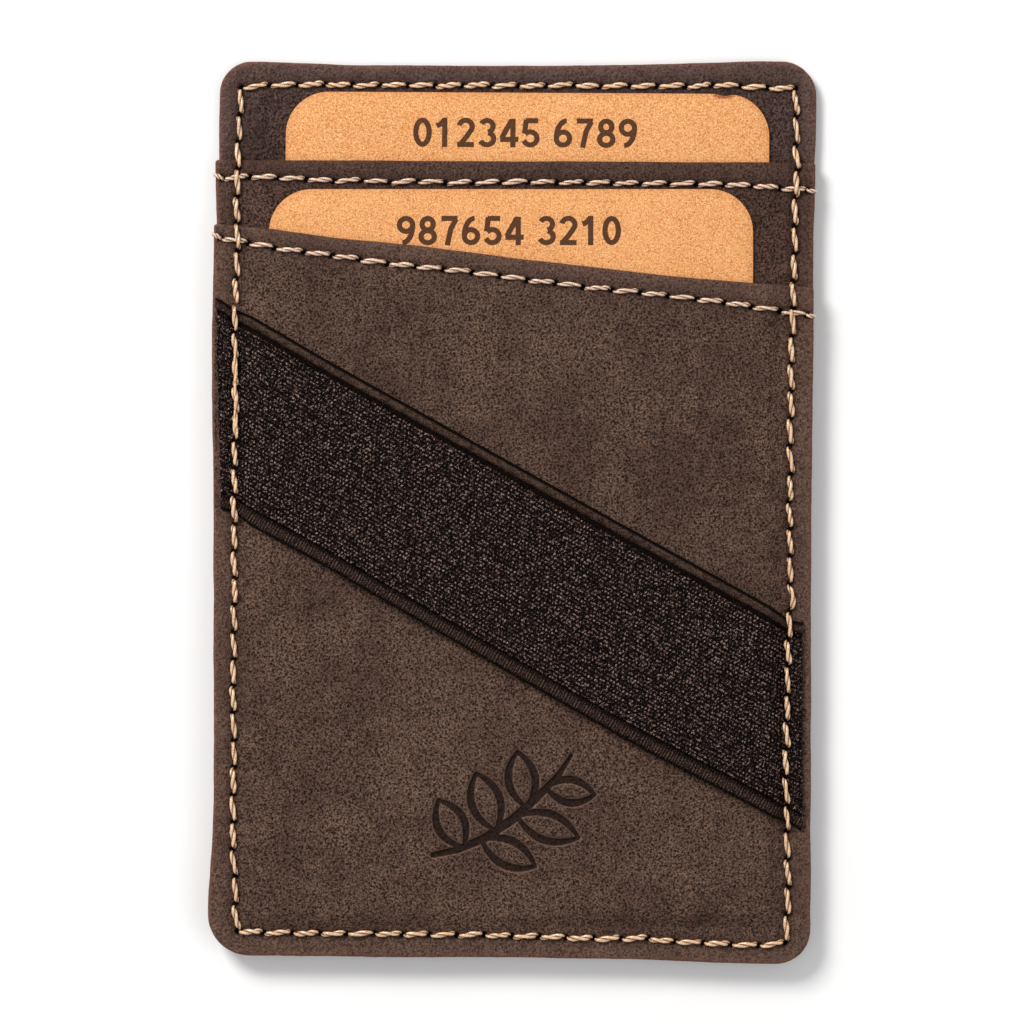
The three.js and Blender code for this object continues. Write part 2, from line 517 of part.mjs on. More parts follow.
piece(
  "front_hem_bobbin_thread",
  hemStrip(FRONT_HEM, [-32.1, LEFT_1, LEFT_2, ...HEM_XS, RIGHT_2, RIGHT_1, 32.5], (x) => frontUnder(x) + CLEAR, HEM_W, GROOVE_D - 2 * CLEAR),
  THREAD,
);

// Seam across the rear pocket, which the rear card stands on.
piece("pocket_floor_needle_thread", hemStrip(floorLine, FLOOR_X, () => Z_REAR + CLEAR, HEM_W, HEM_H), THREAD);
piece("pocket_floor_bobbin_thread", hemStrip(floorLine, FLOOR_X, () => Z_BACK + CLEAR, HEM_W, GROOVE_D - 2 * CLEAR), THREAD);

export default holder;
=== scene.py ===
import math

import bpy
import numpy as np
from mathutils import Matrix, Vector
from mathutils.geometry import delaunay_2d_cdt


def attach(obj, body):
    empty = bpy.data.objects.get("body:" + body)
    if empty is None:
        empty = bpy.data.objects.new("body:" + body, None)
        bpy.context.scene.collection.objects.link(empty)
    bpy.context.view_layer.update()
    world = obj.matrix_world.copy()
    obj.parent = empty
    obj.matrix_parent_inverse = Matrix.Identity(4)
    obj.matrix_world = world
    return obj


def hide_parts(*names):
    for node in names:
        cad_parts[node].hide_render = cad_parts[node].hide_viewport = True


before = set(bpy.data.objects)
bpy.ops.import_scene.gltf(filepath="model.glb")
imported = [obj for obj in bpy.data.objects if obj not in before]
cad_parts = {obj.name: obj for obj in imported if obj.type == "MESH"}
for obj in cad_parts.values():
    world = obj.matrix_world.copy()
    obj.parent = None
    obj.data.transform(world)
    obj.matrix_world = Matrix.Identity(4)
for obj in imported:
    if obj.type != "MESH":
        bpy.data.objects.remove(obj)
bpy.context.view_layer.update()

MM = 0.001
RNG = np.random.default_rng(20261)

# ---------------------------------------------------------------- dimensions
# The same frame as the solids, in millimetres: X right, Y towards the pocket
# mouths, Z out of the front, z = 0 on the adhesive's outer face.

Z_BACK, Z_SEAT, Z_REAR, Z_FRONT = 0.4, 1.5, 2.4, 3.4
REAR_T, FRONT_T, CARD_T = 0.9, 1.0, 0.4
Z_FRONT_UP = 4.2
BAND_END_T, BAND_T, BAND_LIFT = 0.75, 1.0, 0.5
LEFT_1, LEFT_2, RIGHT_1, RIGHT_2 = -30.1, -27.6, 29.95, 28.7

BACK_LEFT = [[46.92, -32.6], [45.56, -32.68], [39.74, -32.7], [30.0, -32.8], [5.0, -33.0], [-32.39, -33.05], [-38.0, -33.35], [-43.68, -33.7]]
BACK_RIGHT = [[45.56, 33.93], [41.45, 33.93], [37.35, 33.7], [27.09, 33.5], [5.0, 33.3], [-45.9, 33.1]]
REAR_LEFT = [[39.3, -33.03], [37.35, -33.08], [32.5, -32.95], [5.0, -33.15], [-32.39, -33.15], [-38.0, -33.45], [-43.68, -33.8]]
REAR_RIGHT = [[38.9, 33.83], [33.25, 33.69], [27.09, 33.58], [5.0, 33.36], [-45.9, 33.18]]
FRONT_LEFT = [[32.05, -33.21], [25.04, -33.28], [18.89, -33.45], [12.74, -33.42], [-1.62, -33.25], [-32.39, -33.25], [-36.5, -33.38], [-40.6, -33.71], [-43.68, -33.9]]
FRONT_RIGHT = [[25.0, 33.62], [19.91, 33.59], [12.74, 33.47], [-5.73, 33.32], [-45.9, 33.25]]
TOP = [[-28.0, 50.27], [-24.19, 50.17], [-18.38, 49.88], [-8.12, 49.83], [9.32, 49.86], [19.57, 50.07], [27.44, 50.32]]
BOTTOM = [[-28.5, -49.4], [-20.43, -49.52], [2.14, -49.66], [14.44, -49.86], [23.68, -50.21], [28.8, -50.34]]
R_TL, R_TR, R_BL, R_BR = 3.5, 3.9, 4.6, 3.8

REAR_MOUTH = [[-34, 39.3], [-23.16, 39.2], [0.09, 39.11], [12.74, 39.06], [34, 38.92]]
FRONT_MOUTH = [[-34, 32.2], [-29.15, 31.76], [-26.92, 31.54], [-23.85, 31.09], [-19.74, 30.51], [-11.2, 29.68], [-6.41, 29.12], [0.77, 28.17], [9.15, 27.26], [17.52, 26.3], [26.58, 25.52], [34, 24.98]]

REAR_HEM = [[-34, 37.6], [-30.34, 37.52], [-28.12, 37.35], [-25.38, 37.18], [-19.57, 36.92], [-13.59, 36.8], [2.65, 36.75], [15.64, 36.62], [25.21, 36.5], [28.29, 36.32], [31.2, 36.02], [34, 35.81]]
FRONT_HEM = [[-34, 30.9], [-30.85, 30.15], [-28.12, 29.66], [-22.65, 28.82], [-13.42, 27.63], [-0.94, 26.15], [11.71, 24.7], [24.36, 23.25], [30.34, 22.3], [34, 21.75]]
SEAM_TOP = [[-30.2, 47.38], [-29.0, 47.55], [-24.87, 47.78], [-19.57, 47.73], [-8.8, 47.61], [15.13, 47.61], [30.0, 47.46], [31.65, 47.3]]
SEAM_BOTTOM = [[30.45, -47.95], [29.4, -48.12], [25.9, -48.22], [19.91, -47.93], [13.93, -47.57], [1.97, -47.26], [-14.27, -47.01], [-29.3, -46.89], [-30.6, -46.7]]
SEAM_LEFT = [[-30.6, -46.7], [-30.78, -44.7], [-31.03, -38.21], [-30.97, -0.26], [-30.85, 2.82], [-30.85, 19.91], [-30.72, 24.19], [-30.68, 31.2], [-30.56, 38.03], [-30.44, 42.82], [-30.2, 47.38]]
SEAM_RIGHT = [[31.65, 47.3], [31.76, 46.24], [31.76, 37.01], [31.59, 33.76], [31.4, 24.87], [31.11, 17.69], [30.94, 1.62], [30.94, -11.71], [30.75, -15.81], [30.53, -30.68], [30.7, -39.91], [30.62, -45.04], [30.45, -47.95]]

BAND_TOP = [[-33.25, 24.36], [-30.34, 22.65], [-20.77, 17.01], [-11.2, 11.71], [0.77, 5.04], [12.74, -1.62], [19.91, -5.56], [30.68, -11.54], [32.39, -12.56]]
BAND_BOTTOM = [[-33.25, 0.77], [-30.51, -0.77], [-20.77, -6.07], [-12.91, -10.68], [0.77, -18.55], [15.13, -26.75], [27.09, -32.91], [30.0, -34.62], [32.39, -35.98]]
BAND_X = (-33.1, 32.39)
BAND_ANGLE = math.radians(29.25)
BAND_W = 20.5

MARK_Y, MARK_D, MARK_W = -33.3, 0.3, 0.85
MARK_STEM = [[-8.8, -4.9, 0.7], [-6.0, -4.3, 0.9], [-3.0, -3.0, 1.05], [0, -1.0, 1.1], [2.8, 1.5, 1.0], [5.2, 4.0, 0.8], [6.6, 6.2, 0.5]]
MARK_LEAVES = [
    [[-5.4, -4.1], [-8.2, 1.2], 1.5], [[-1.8, -2.2], [-4.0, 4.2], 1.6], [[1.6, 0.4], [0.6, 6.6], 1.5],
    [[-3.4, -3.2], [2.6, -6.2], 1.4], [[0.6, -0.6], [7.4, -3.0], 1.5], [[3.8, 2.6], [9.2, 1.8], 1.3],
]

# --------------------------------------------------------------------- noise


def _hash(a, b, seed):
    n = (a * 374761393 + b * 668265263 + seed * 974711) & 0xFFFFFFFF
    n = ((n ^ (n >> 13)) * 1274126177) & 0xFFFFFFFF
    return ((n ^ (n >> 16)) & 0xFFFF) / 65535.0


def noise2(x, y, seed=0):
    """Smooth value noise from -1 to 1, one lump a unit."""
    x, y = np.broadcast_arrays(np.asarray(x, float), np.asarray(y, float))
    xi, yi = np.floor(x).astype(np.int64), np.floor(y).astype(np.int64)
    u, v = x - xi, y - yi
    u, v = u * u * (3 - 2 * u), v * v * (3 - 2 * v)
    a, b = _hash(xi, yi, seed), _hash(xi + 1, yi, seed)
    c, d = _hash(xi, yi + 1, seed), _hash(xi + 1, yi + 1, seed)
    return 2 * ((a * (1 - u) + b * u) * (1 - v) + (c * (1 - u) + d * u) * v) - 1


def fractal(x, y, seed=0, octaves=3):
    out, amp, total = 0.0, 1.0, 0.0
    for k in range(octaves):
        out = out + amp * noise2(np.asarray(x) * 2**k, np.asarray(y) * 2**k, seed + 17 * k)
        total += amp
        amp *= 0.5
    return out / total


def smooth(t):
    t = np.clip(t, 0, 1)
    return t * t * (3 - 2 * t)


class Curve:
    """A measured line y(x) or x(y), rounded where its rows meet, with the small waver of a knife cut."""

    def __init__(self, rows, shift=0.0, waver=0.0, seed=0, sigma=1.0):
        rows = sorted(rows)
        k = np.arange(rows[0][0] - 8, rows[-1][0] + 8, 0.1)
        v = np.interp(k, [r[0] for r in rows], [r[1] for r in rows])
        w = np.exp(-0.5 * (np.arange(-40, 41) * 0.1 / sigma) ** 2)
        v = np.convolve(np.pad(v, 40, mode="edge"), w / w.sum(), mode="valid")
        if waver:
            v = v + waver * (noise2(k / 5.0, 0.3, seed) + 0.5 * noise2(k / 1.7, 4.3, seed + 1))
        self.k, self.v = k, v + shift

    def __call__(self, t):
        return np.interp(t, self.k, self.v)


# ------------------------------------------------------------------- outlines


class Panel:
    """The outline of one leather panel: a straight-ish side table for each side, and round corners."""

    def __init__(self, left, right, bottom, top, radii, seed, shift=0.0, waver=0.045):
        self.left = Curve(left, waver=waver, seed=seed)
        self.right = Curve(right, waver=waver, seed=seed + 3)
        self.bottom = Curve(bottom, shift=shift, waver=waver, seed=seed + 6)
        self.top = Curve(top, waver=waver * 0.6, seed=seed + 9)
        bl, br, tl, tr = radii
        self.corners = []
        for r, sx, sy in ((bl, -1, -1), (br, 1, -1), (tl, -1, 1), (tr, 1, 1)):
            side = self.left if sx < 0 else self.right
            end = self.bottom if sy < 0 else self.top
            y = float(end(side(0.0)))
            for _ in range(6):
                x = float(side(y - sy * r)) - sx * r
                y = float(end(x))
            self.corners.append((x, y - sy * r, r, sx, sy))

    def limits(self, y):
        """Leftmost and rightmost x of the outline at height y."""
        lo, hi = self.left(y), self.right(y)
        for cx, cy, r, sx, sy in self.corners:
            deep = (y - cy) * sy
            arc = cx + sx * np.sqrt(np.clip(r * r - np.clip(deep, 0, r) ** 2, 0, None))
            if sx < 0:
                lo = np.where(deep > 0, np.maximum(arc, lo), lo)
            else:
                hi = np.where(deep > 0, np.minimum(arc, hi), hi)
        return lo, hi

    def inside(self, x, y):
        """Distance in from the outline."""
        d = np.minimum(np.minimum(x - self.left(y), self.right(y) - x), np.minimum(y - self.bottom(x), self.top(x) - y))
        for cx, cy, r, sx, sy in self.corners:
            at = ((x - cx) * sx > 0) & ((y - cy) * sy > 0)
            d = np.where(at, np.minimum(d, r - np.hypot(x - cx, y - cy)), d)
        return np.maximum(d, 0)

    def grid(self, us, vs):
        """Points of a grid that fills the outline. us runs left to right and vs bottom to top, both 0 to 1."""
        x0 = -33.3 + 66.7 * us[None, :]
        for _ in range(2):
            y = self.bottom(x0) + (self.top(x0) - self.bottom(x0)) * vs[:, None]
            lo, _hi = self.limits(y[:, 0])
            _lo, hi = self.limits(y[:, -1])
            x0 = lo[:, None] + (hi - lo)[:, None] * us[None, :]
        y = self.bottom(x0) + (self.top(x0) - self.bottom(x0)) * vs[:, None]
        return x0, y


back = Panel(BACK_LEFT, BACK_RIGHT, BOTTOM, TOP, (R_BL, R_BR, R_TL, R_TR), 11, shift=0.12)
rear = Panel(REAR_LEFT, REAR_RIGHT, BOTTOM, REAR_MOUTH, (R_BL, R_BR, 0.35, 0.35), 31, shift=0.06)
front = Panel(FRONT_LEFT, FRONT_RIGHT, BOTTOM, FRONT_MOUTH, (R_BL, R_BR, 0.35, 0.35), 51)

band_top_line = Curve(BAND_TOP, sigma=1.5)
band_bottom_line = Curve(BAND_BOTTOM, sigma=1.5)


def stations(length, rows):
    """Fractions 0 to 1 along a length, with the spacing given by rows of (position, spacing), both in mm."""
    out = [0.0]
    while out[-1] < length:
        out.append(out[-1] + float(np.interp(out[-1], [r[0] for r in rows], [r[1] for r in rows])))
    out = np.array(out)
    return out / out[-1]


# ------------------------------------------------------------ surface heights


def over_card(x, y, floor_low, floor_high):
    """0 on the sewn edge, 1 where the leather lies on a card."""
    left = smooth((x + 30.25) / 3.1)
    right = smooth((30.1 - x) / 1.9)
    floor = smooth((y - floor_low) / (floor_high - floor_low))
    return left * right * floor


def rear_top(x, y):
    return Z_REAR + CARD_T * over_card(x, y, -38.8, -36.2)


def front_top(x, y):
    return Z_FRONT + 2 * CARD_T * over_card(x, y, -46.5, -44.4)


def band_height(x):
    """Underside of the strap along its run, and its thickness there."""
    under = np.interp(x, [-33.1, -30.2, -27.6, -20, -10, 10, 20, 28.7, 30.0, 32.4], [3.42, 3.42, 4.3, 4.52, 4.7, 4.7, 4.52, 4.3, 3.42, 3.42])
    thick = np.interp(x, [-33.1, -30.15, -27.6, 28.7, 30.0, 32.4], [BAND_END_T, BAND_END_T - 0.05, BAND_T, BAND_T, BAND_END_T - 0.05, BAND_END_T])
    return under, thick


def on_band(x, y, grow=0.0):
    return (x > BAND_X[0]) & (x < BAND_X[1]) & (y < band_top_line(x) + grow) & (y > band_bottom_line(x) - grow)


def surface(x, y):
    """Height of what a thread on the front lies on."""
    z = np.where(y < rear.top(x), rear_top(x, y), Z_SEAT)
    z = np.where(y < front.top(x), front_top(x, y), z)
    under, thick = band_height(x)
    return np.where(on_band(x, y), under + thick, z)


# ---------------------------------------------------------------------- seams


def along(points, n):
    """n + 1 points evenly along a line of points."""
    p = np.array(points, float)
    s = np.concatenate([[0], np.cumsum(np.hypot(*np.diff(p, axis=0).T))])
    t = np.linspace(0, s[-1], n + 1)
    return np.stack([np.interp(t, s, p[:, 0]), np.interp(t, s, p[:, 1])], 1)


def jitter(holes, amount, seed):
    """Needle holes a little off their even places, with the first and last kept."""
    rng = np.random.default_rng(seed)
    out = holes.copy()
    out[1:-1] += rng.normal(0, amount, out[1:-1].shape)
    return out


seam_sides = {
    "top": jitter(along(SEAM_TOP, 20), 0.05, 1),
    "right": jitter(along(SEAM_RIGHT, 31), 0.06, 2),
    "bottom": jitter(along(SEAM_BOTTOM, 20), 0.05, 3),
    "left": jitter(along(SEAM_LEFT, 31), 0.06, 4),
}
rear_hem_holes = jitter(along([[x, y] for x, y in REAR_HEM if -33 < x < 33.5] and [[-32.3, 37.2], *[r for r in REAR_HEM if -32 < r[0] < 33], [33.0, 35.87]], 21), 0.05, 5)
front_hem_holes = jitter(along([[-32.5, 30.54], *[r for r in FRONT_HEM if -32 < r[0] < 32], [32.9, 21.92]], 21), 0.05, 6)
perimeter_holes = np.concatenate([s[:-1] for s in seam_sides.values()])


def nearest(px, py, line):
    """Distance from points to a line of points."""
    best = np.full(px.shape, 1e9)
    for (ax, ay), (bx, by) in zip(line[:-1], line[1:]):
        dx, dy = bx - ax, by - ay
        t = np.clip(((px - ax) * dx + (py - ay) * dy) / (dx * dx + dy * dy), 0, 1)
        best = np.minimum(best, np.hypot(px - ax - t * dx, py - ay - t * dy))
    return best


def near_points(px, py, points, reach):
    """Sum of soft dots about points, each reach wide."""
    out = np.zeros(px.shape)
    for x, y in points:
        m = (np.abs(px - x) < 3 * reach) & (np.abs(py - y) < 3 * reach)
        if m.any():
            out[m] = np.maximum(out[m], np.exp(-((px[m] - x) ** 2 + (py[m] - y) ** 2) / reach**2))
    return out


def pressed_mark(px, py):
    """How far the sprig is pressed in at each point, 0 to 1, and the soft lip round it."""
    lines = [[(x, y + MARK_Y, w) for x, y, w in MARK_STEM]]
    for base, tip, bulge in MARK_LEAVES:
        d = np.array(tip) - np.array(base)
        d = d / np.hypot(*d)
        for side in (1, -1):
            cx = (base[0] + tip[0]) / 2 - side * d[1] * bulge * 2
            cy = (base[1] + tip[1]) / 2 + side * d[0] * bulge * 2
            line = []
            for t in np.linspace(0, 1, 15):
                u = 1 - t
                # the leaf's lines swell in the middle and thin out at the tip
                w = MARK_W * (0.62 + 0.55 * math.sin(math.pi * t))
                line.append((u * u * base[0] + 2 * u * t * cx + t * t * tip[0], u * u * base[1] + 2 * u * t * cy + t * t * tip[1] + MARK_Y, w))
            lines.append(line)
    m = (np.abs(px) < 12) & (np.abs(py - MARK_Y) < 9.5)
    x, y = px[m], py[m]
    edge = np.full(x.shape, 1e9)
    for line in lines:
        for (ax, ay, aw), (bx, by, bw) in zip(line[:-1], line[1:]):
            dx, dy = bx - ax, by - ay
            t = np.clip(((x - ax) * dx + (y - ay) * dy) / (dx * dx + dy * dy), 0, 1)
            edge = np.minimum(edge, np.hypot(x - ax - t * dx, y - ay - t * dy) - (aw + (bw - aw) * t) / 2)
    deep, lip = np.zeros(px.shape), np.zeros(px.shape)
    deep[m] = smooth((0.12 - edge) / 0.24)
    lip[m] = np.exp(-(((edge - 0.3) / 0.22) ** 2))
    return deep, lip


# --------------------------------------------------------------- mesh making


def make_object(name, verts, faces, attributes=None, materials=(), face_material=None, smooth_shade=True):
    """verts in mm. faces is a list of index arrays, each (n, 3) or (n, 4)."""
    verts = np.asarray(verts, float) * MM
    mesh = bpy.data.meshes.new(name)
    loops = np.concatenate([np.asarray(f, np.int64).reshape(-1) for f in faces])
    totals = np.concatenate([np.full(len(f), np.asarray(f).shape[1]) for f in faces])
    mesh.vertices.add(len(verts))
    mesh.vertices.foreach_set("co", verts.astype(np.float32).reshape(-1))
    mesh.loops.add(len(loops))
    mesh.loops.foreach_set("vertex_index", loops.astype(np.int32))
    mesh.polygons.add(len(totals))
    mesh.polygons.foreach_set("loop_start", np.concatenate([[0], np.cumsum(totals)[:-1]]).astype(np.int32))
    mesh.polygons.foreach_set("loop_total", totals.astype(np.int32))
    mesh.polygons.foreach_set("use_smooth", np.full(len(totals), smooth_shade))
    for m in materials:
        mesh.materials.append(m)
    if face_material is not None:
        mesh.polygons.foreach_set("material_index", np.asarray(face_material, np.int32))
    for key, values in (attributes or {}).items():
        mesh.attributes.new(key, "FLOAT", "POINT").data.foreach_set("value", np.asarray(values, np.float32))
    mesh.update(calc_edges=True)
    mesh.validate()
    o = bpy.data.objects.new(name, mesh)
    bpy.context.scene.collection.objects.link(o)
    return o


def grid_faces(nr, nc, start=0, flip=False):
    i = np.arange(nr - 1)[:, None] * nc + np.arange(nc - 1)[None, :] + start
    q = np.stack([i, i + 1, i + nc + 1, i + nc], -1).reshape(-1, 4)
    return q[:, ::-1] if flip else q


def border(nr, nc):
    """Indices round a grid's edge, counterclockwise from the bottom left."""
    return np.concatenate([
        np.arange(nc),
        np.arange(1, nr) * nc + nc - 1,
        (nr - 1) * nc + np.arange(nc - 2, -1, -1),
        np.arange(nr - 2, 0, -1) * nc,
    ])


def wall_faces(a, b):
    """Quads from loop a down to loop b."""
    return np.stack([a, b, np.roll(b, -1), np.roll(a, -1)], -1)


def rounded(d, r):
    """How far an edge of radius r falls away at distance d in from it."""
    d = np.clip(d, 0, r)
    return r - np.sqrt(np.clip(r * r - (r - d) ** 2, 0, None))


def leather_panel(name, panel, us, vs, top_z, bottom_z, thickness, materials, seed, holes=(), seams=(), mark=False, back_holes=None, edge_r=0.36, band_shadow=False):
    """A sheet of leather that fills a panel's outline, with rounded cut edges, pressed seams and needle holes."""
    x, y = panel.grid(us, vs)
    nr, nc = x.shape
    d = panel.inside(x, y)
    z = top_z(x, y)
    # the soft hand of the leather: long low swells, and a puffed edge outside the seam
    z = z + 0.05 * fractal(x / 9.0, y / 9.0, seed, 3) + 0.018 * fractal(x / 1.6, y / 1.6, seed + 5, 2)
    pulled = np.zeros(x.shape)
    for line in seams:
        dist = nearest(x, y, line)
        z = z - 0.11 * np.exp(-((dist / 0.62) ** 2)) + 0.035 * np.exp(-(((dist - 1.5) / 0.8) ** 2))
        pulled = np.maximum(pulled, np.exp(-((dist / 0.8) ** 2)))
    # hole marks the needle holes: a shallow dip here, and painted shade (near black) in the face and flesh materials
    hole = near_points(x, y, holes, 0.43) if len(holes) else np.zeros(x.shape)
    z = z - 0.42 * hole**1.3 - 0.07 * (near_points(x, y, holes, 0.95) if len(holes) else 0)
    deep, wall = np.zeros(x.shape), np.zeros(x.shape)
    if mark:
        deep, lip = pressed_mark(x, y)
        # wall peaks on the mark's sloping walls, where the face material paints a highlight
        wall = 4 * deep * (1 - deep)
        z = z - MARK_D * 1.3 * deep + 0.06 * lip
    # the cut edge: rolled over, and a little uneven
    r = edge_r * (1 + 0.15 * noise2(x / 2.2 + seed, y / 2.2))
    z = z - rounded(d, r)
    # the rubbed outer edge, on the sides and the bottom but not along a pocket's mouth
    sides = np.minimum(np.minimum(x - panel.left(y), panel.right(y) - x), y - panel.bottom(x)) if seams and len(seams) > 1 else d
    edge = np.exp(-((d / 0.34) ** 2)) * smooth((1.2 - sides) / 0.8)
    top = np.stack([x, y, z], -1).reshape(-1, 3)
    loop = border(nr, nc)
    attributes = {"edge": [edge.reshape(-1)], "hole": [hole.reshape(-1)], "deep": [deep.reshape(-1)], "wall": [wall.reshape(-1)], "rim": [np.exp(-((d / 2.6) ** 2)).reshape(-1)], "pulled": [pulled.reshape(-1)], "under": [np.zeros(top.shape[0])]}
    verts, faces, material = [top], [grid_faces(nr, nc)], [np.zeros((nr - 1) * (nc - 1))]
    count = len(top)

    def more(points, **values):
        nonlocal count
        verts.append(points)
        for key, rows in attributes.items():
            rows.append(np.full(len(points), values.get(key, 0.0)) if np.isscalar(values.get(key, 0.0)) else values[key])
        count += len(points)
        return np.arange(count - len(points), count)

    lx, ly = x.reshape(-1)[loop], y.reshape(-1)[loop]
    lz0 = top[loop, 2]
    lz1 = bottom_z(lx, ly)
    # outward direction round the loop
    tx, ty = np.roll(lx, -2) - np.roll(lx, 2), np.roll(ly, -2) - np.roll(ly, 2)
    length = np.hypot(tx, ty) + 1e-9
    nx, ny = ty / length, -tx / length
    run = np.cumsum(np.hypot(np.diff(lx, append=lx[0]), np.diff(ly, append=ly[0])))
    last = loop
    # deep on the lowest edge ring here and on the bottom ring below is painted shade in the edge material, where the
    # panel meets the layer under it
    for t in (0.18, 0.42, 0.7, 0.9):
        bulge = 0.03 * math.sin(math.pi * t) + 0.022 * noise2(run / 0.9, t * 5 + seed, seed) + 0.02 * noise2(run / 3.1, t * 3, seed + 1)
        ring = more(np.stack([lx + nx * bulge, ly + ny * bulge, lz0 + (lz1 - lz0) * t], -1), edge=1.0, rim=1.0, deep=0.3 if t > 0.8 and back_holes is None else 0.0)
        faces.append(wall_faces(last, ring))
        material.append(np.ones(len(ring)))
        last = ring
    if back_holes is None:
        ring = more(np.stack([lx - 0.1 * nx, ly - 0.1 * ny, lz1], -1), edge=1.0, rim=1.0, deep=1.0)
        faces.append(wall_faces(last, ring))
        material.append(np.ones(len(ring)))
        # the hidden underside: the edge loop and a sparse lattice inside it
        gx, gy = np.meshgrid(np.arange(-31, 32, 2.2), np.arange(-48, 39, 3.0))
        keep = panel.inside(gx, gy) > 0.8
        gx, gy = gx[keep], gy[keep]
        inner = more(np.stack([gx, gy, bottom_z(gx, gy)], -1), under=1.0)
        points = [Vector((a, b)) for a, b in zip(np.concatenate([lx, gx]), np.concatenate([ly, gy]))]
        n = len(lx)
        edges = [(i, (i + 1) % n) for i in range(n)]
        _v, _e, tris, orig, _oe, _of = delaunay_2d_cdt(points, edges, [], 1, 1e-7)
        ids = np.concatenate([ring, inner])
        first = [o[0] if o else -1 for o in orig]
        out = [[ids[first[a]], ids[first[c]], ids[first[b]]] for a, b, c in tris if min(first[a], first[b], first[c]) >= 0]
        faces.append(np.array(out))
        material.append(np.full(len(out), 2))
    else:
        # a seen underside, with its own edge roll and needle holes
        zb = bottom_z(x, y)
        # hole_b marks the needle holes on the underside, painted near black as painted shade in the flesh material
        hole_b = near_points(x, y, back_holes, 0.36)
        dist = nearest(x, y, np.concatenate([perimeter_holes, perimeter_holes[:1]]))
        zb = zb + rounded(d, 0.3) + 0.09 * np.exp(-((dist / 0.6) ** 2)) + 0.32 * hole_b**1.3 + 0.02 * fractal(x / 2.0, y / 2.0, seed + 9, 2)
        flat = (np.abs(x) < 29.4) & (np.abs(y - 0.3) < 46.2)
        zb = np.where(flat, bottom_z(x, y) + 0.01, np.maximum(zb, bottom_z(x, y) - 0.02))
        low = more(np.stack([x, y, zb], -1).reshape(-1, 3), edge=np.exp(-((d / 0.3) ** 2)).reshape(-1), hole=hole_b.reshape(-1), rim=np.exp(-((d / 2.6) ** 2)).reshape(-1), under=1.0)
        faces.append(wall_faces(last, low[loop]))
        material.append(np.ones(len(loop)))
        faces.append(grid_faces(nr, nc, int(low[0]), flip=True))
        material.append(np.full((nr - 1) * (nc - 1), 2))
    o = make_object(name, np.concatenate(verts), faces, {k: np.concatenate(v) for k, v in attributes.items()}, materials, np.concatenate(material))
    return o


# ----------------------------------------------------------------- materials


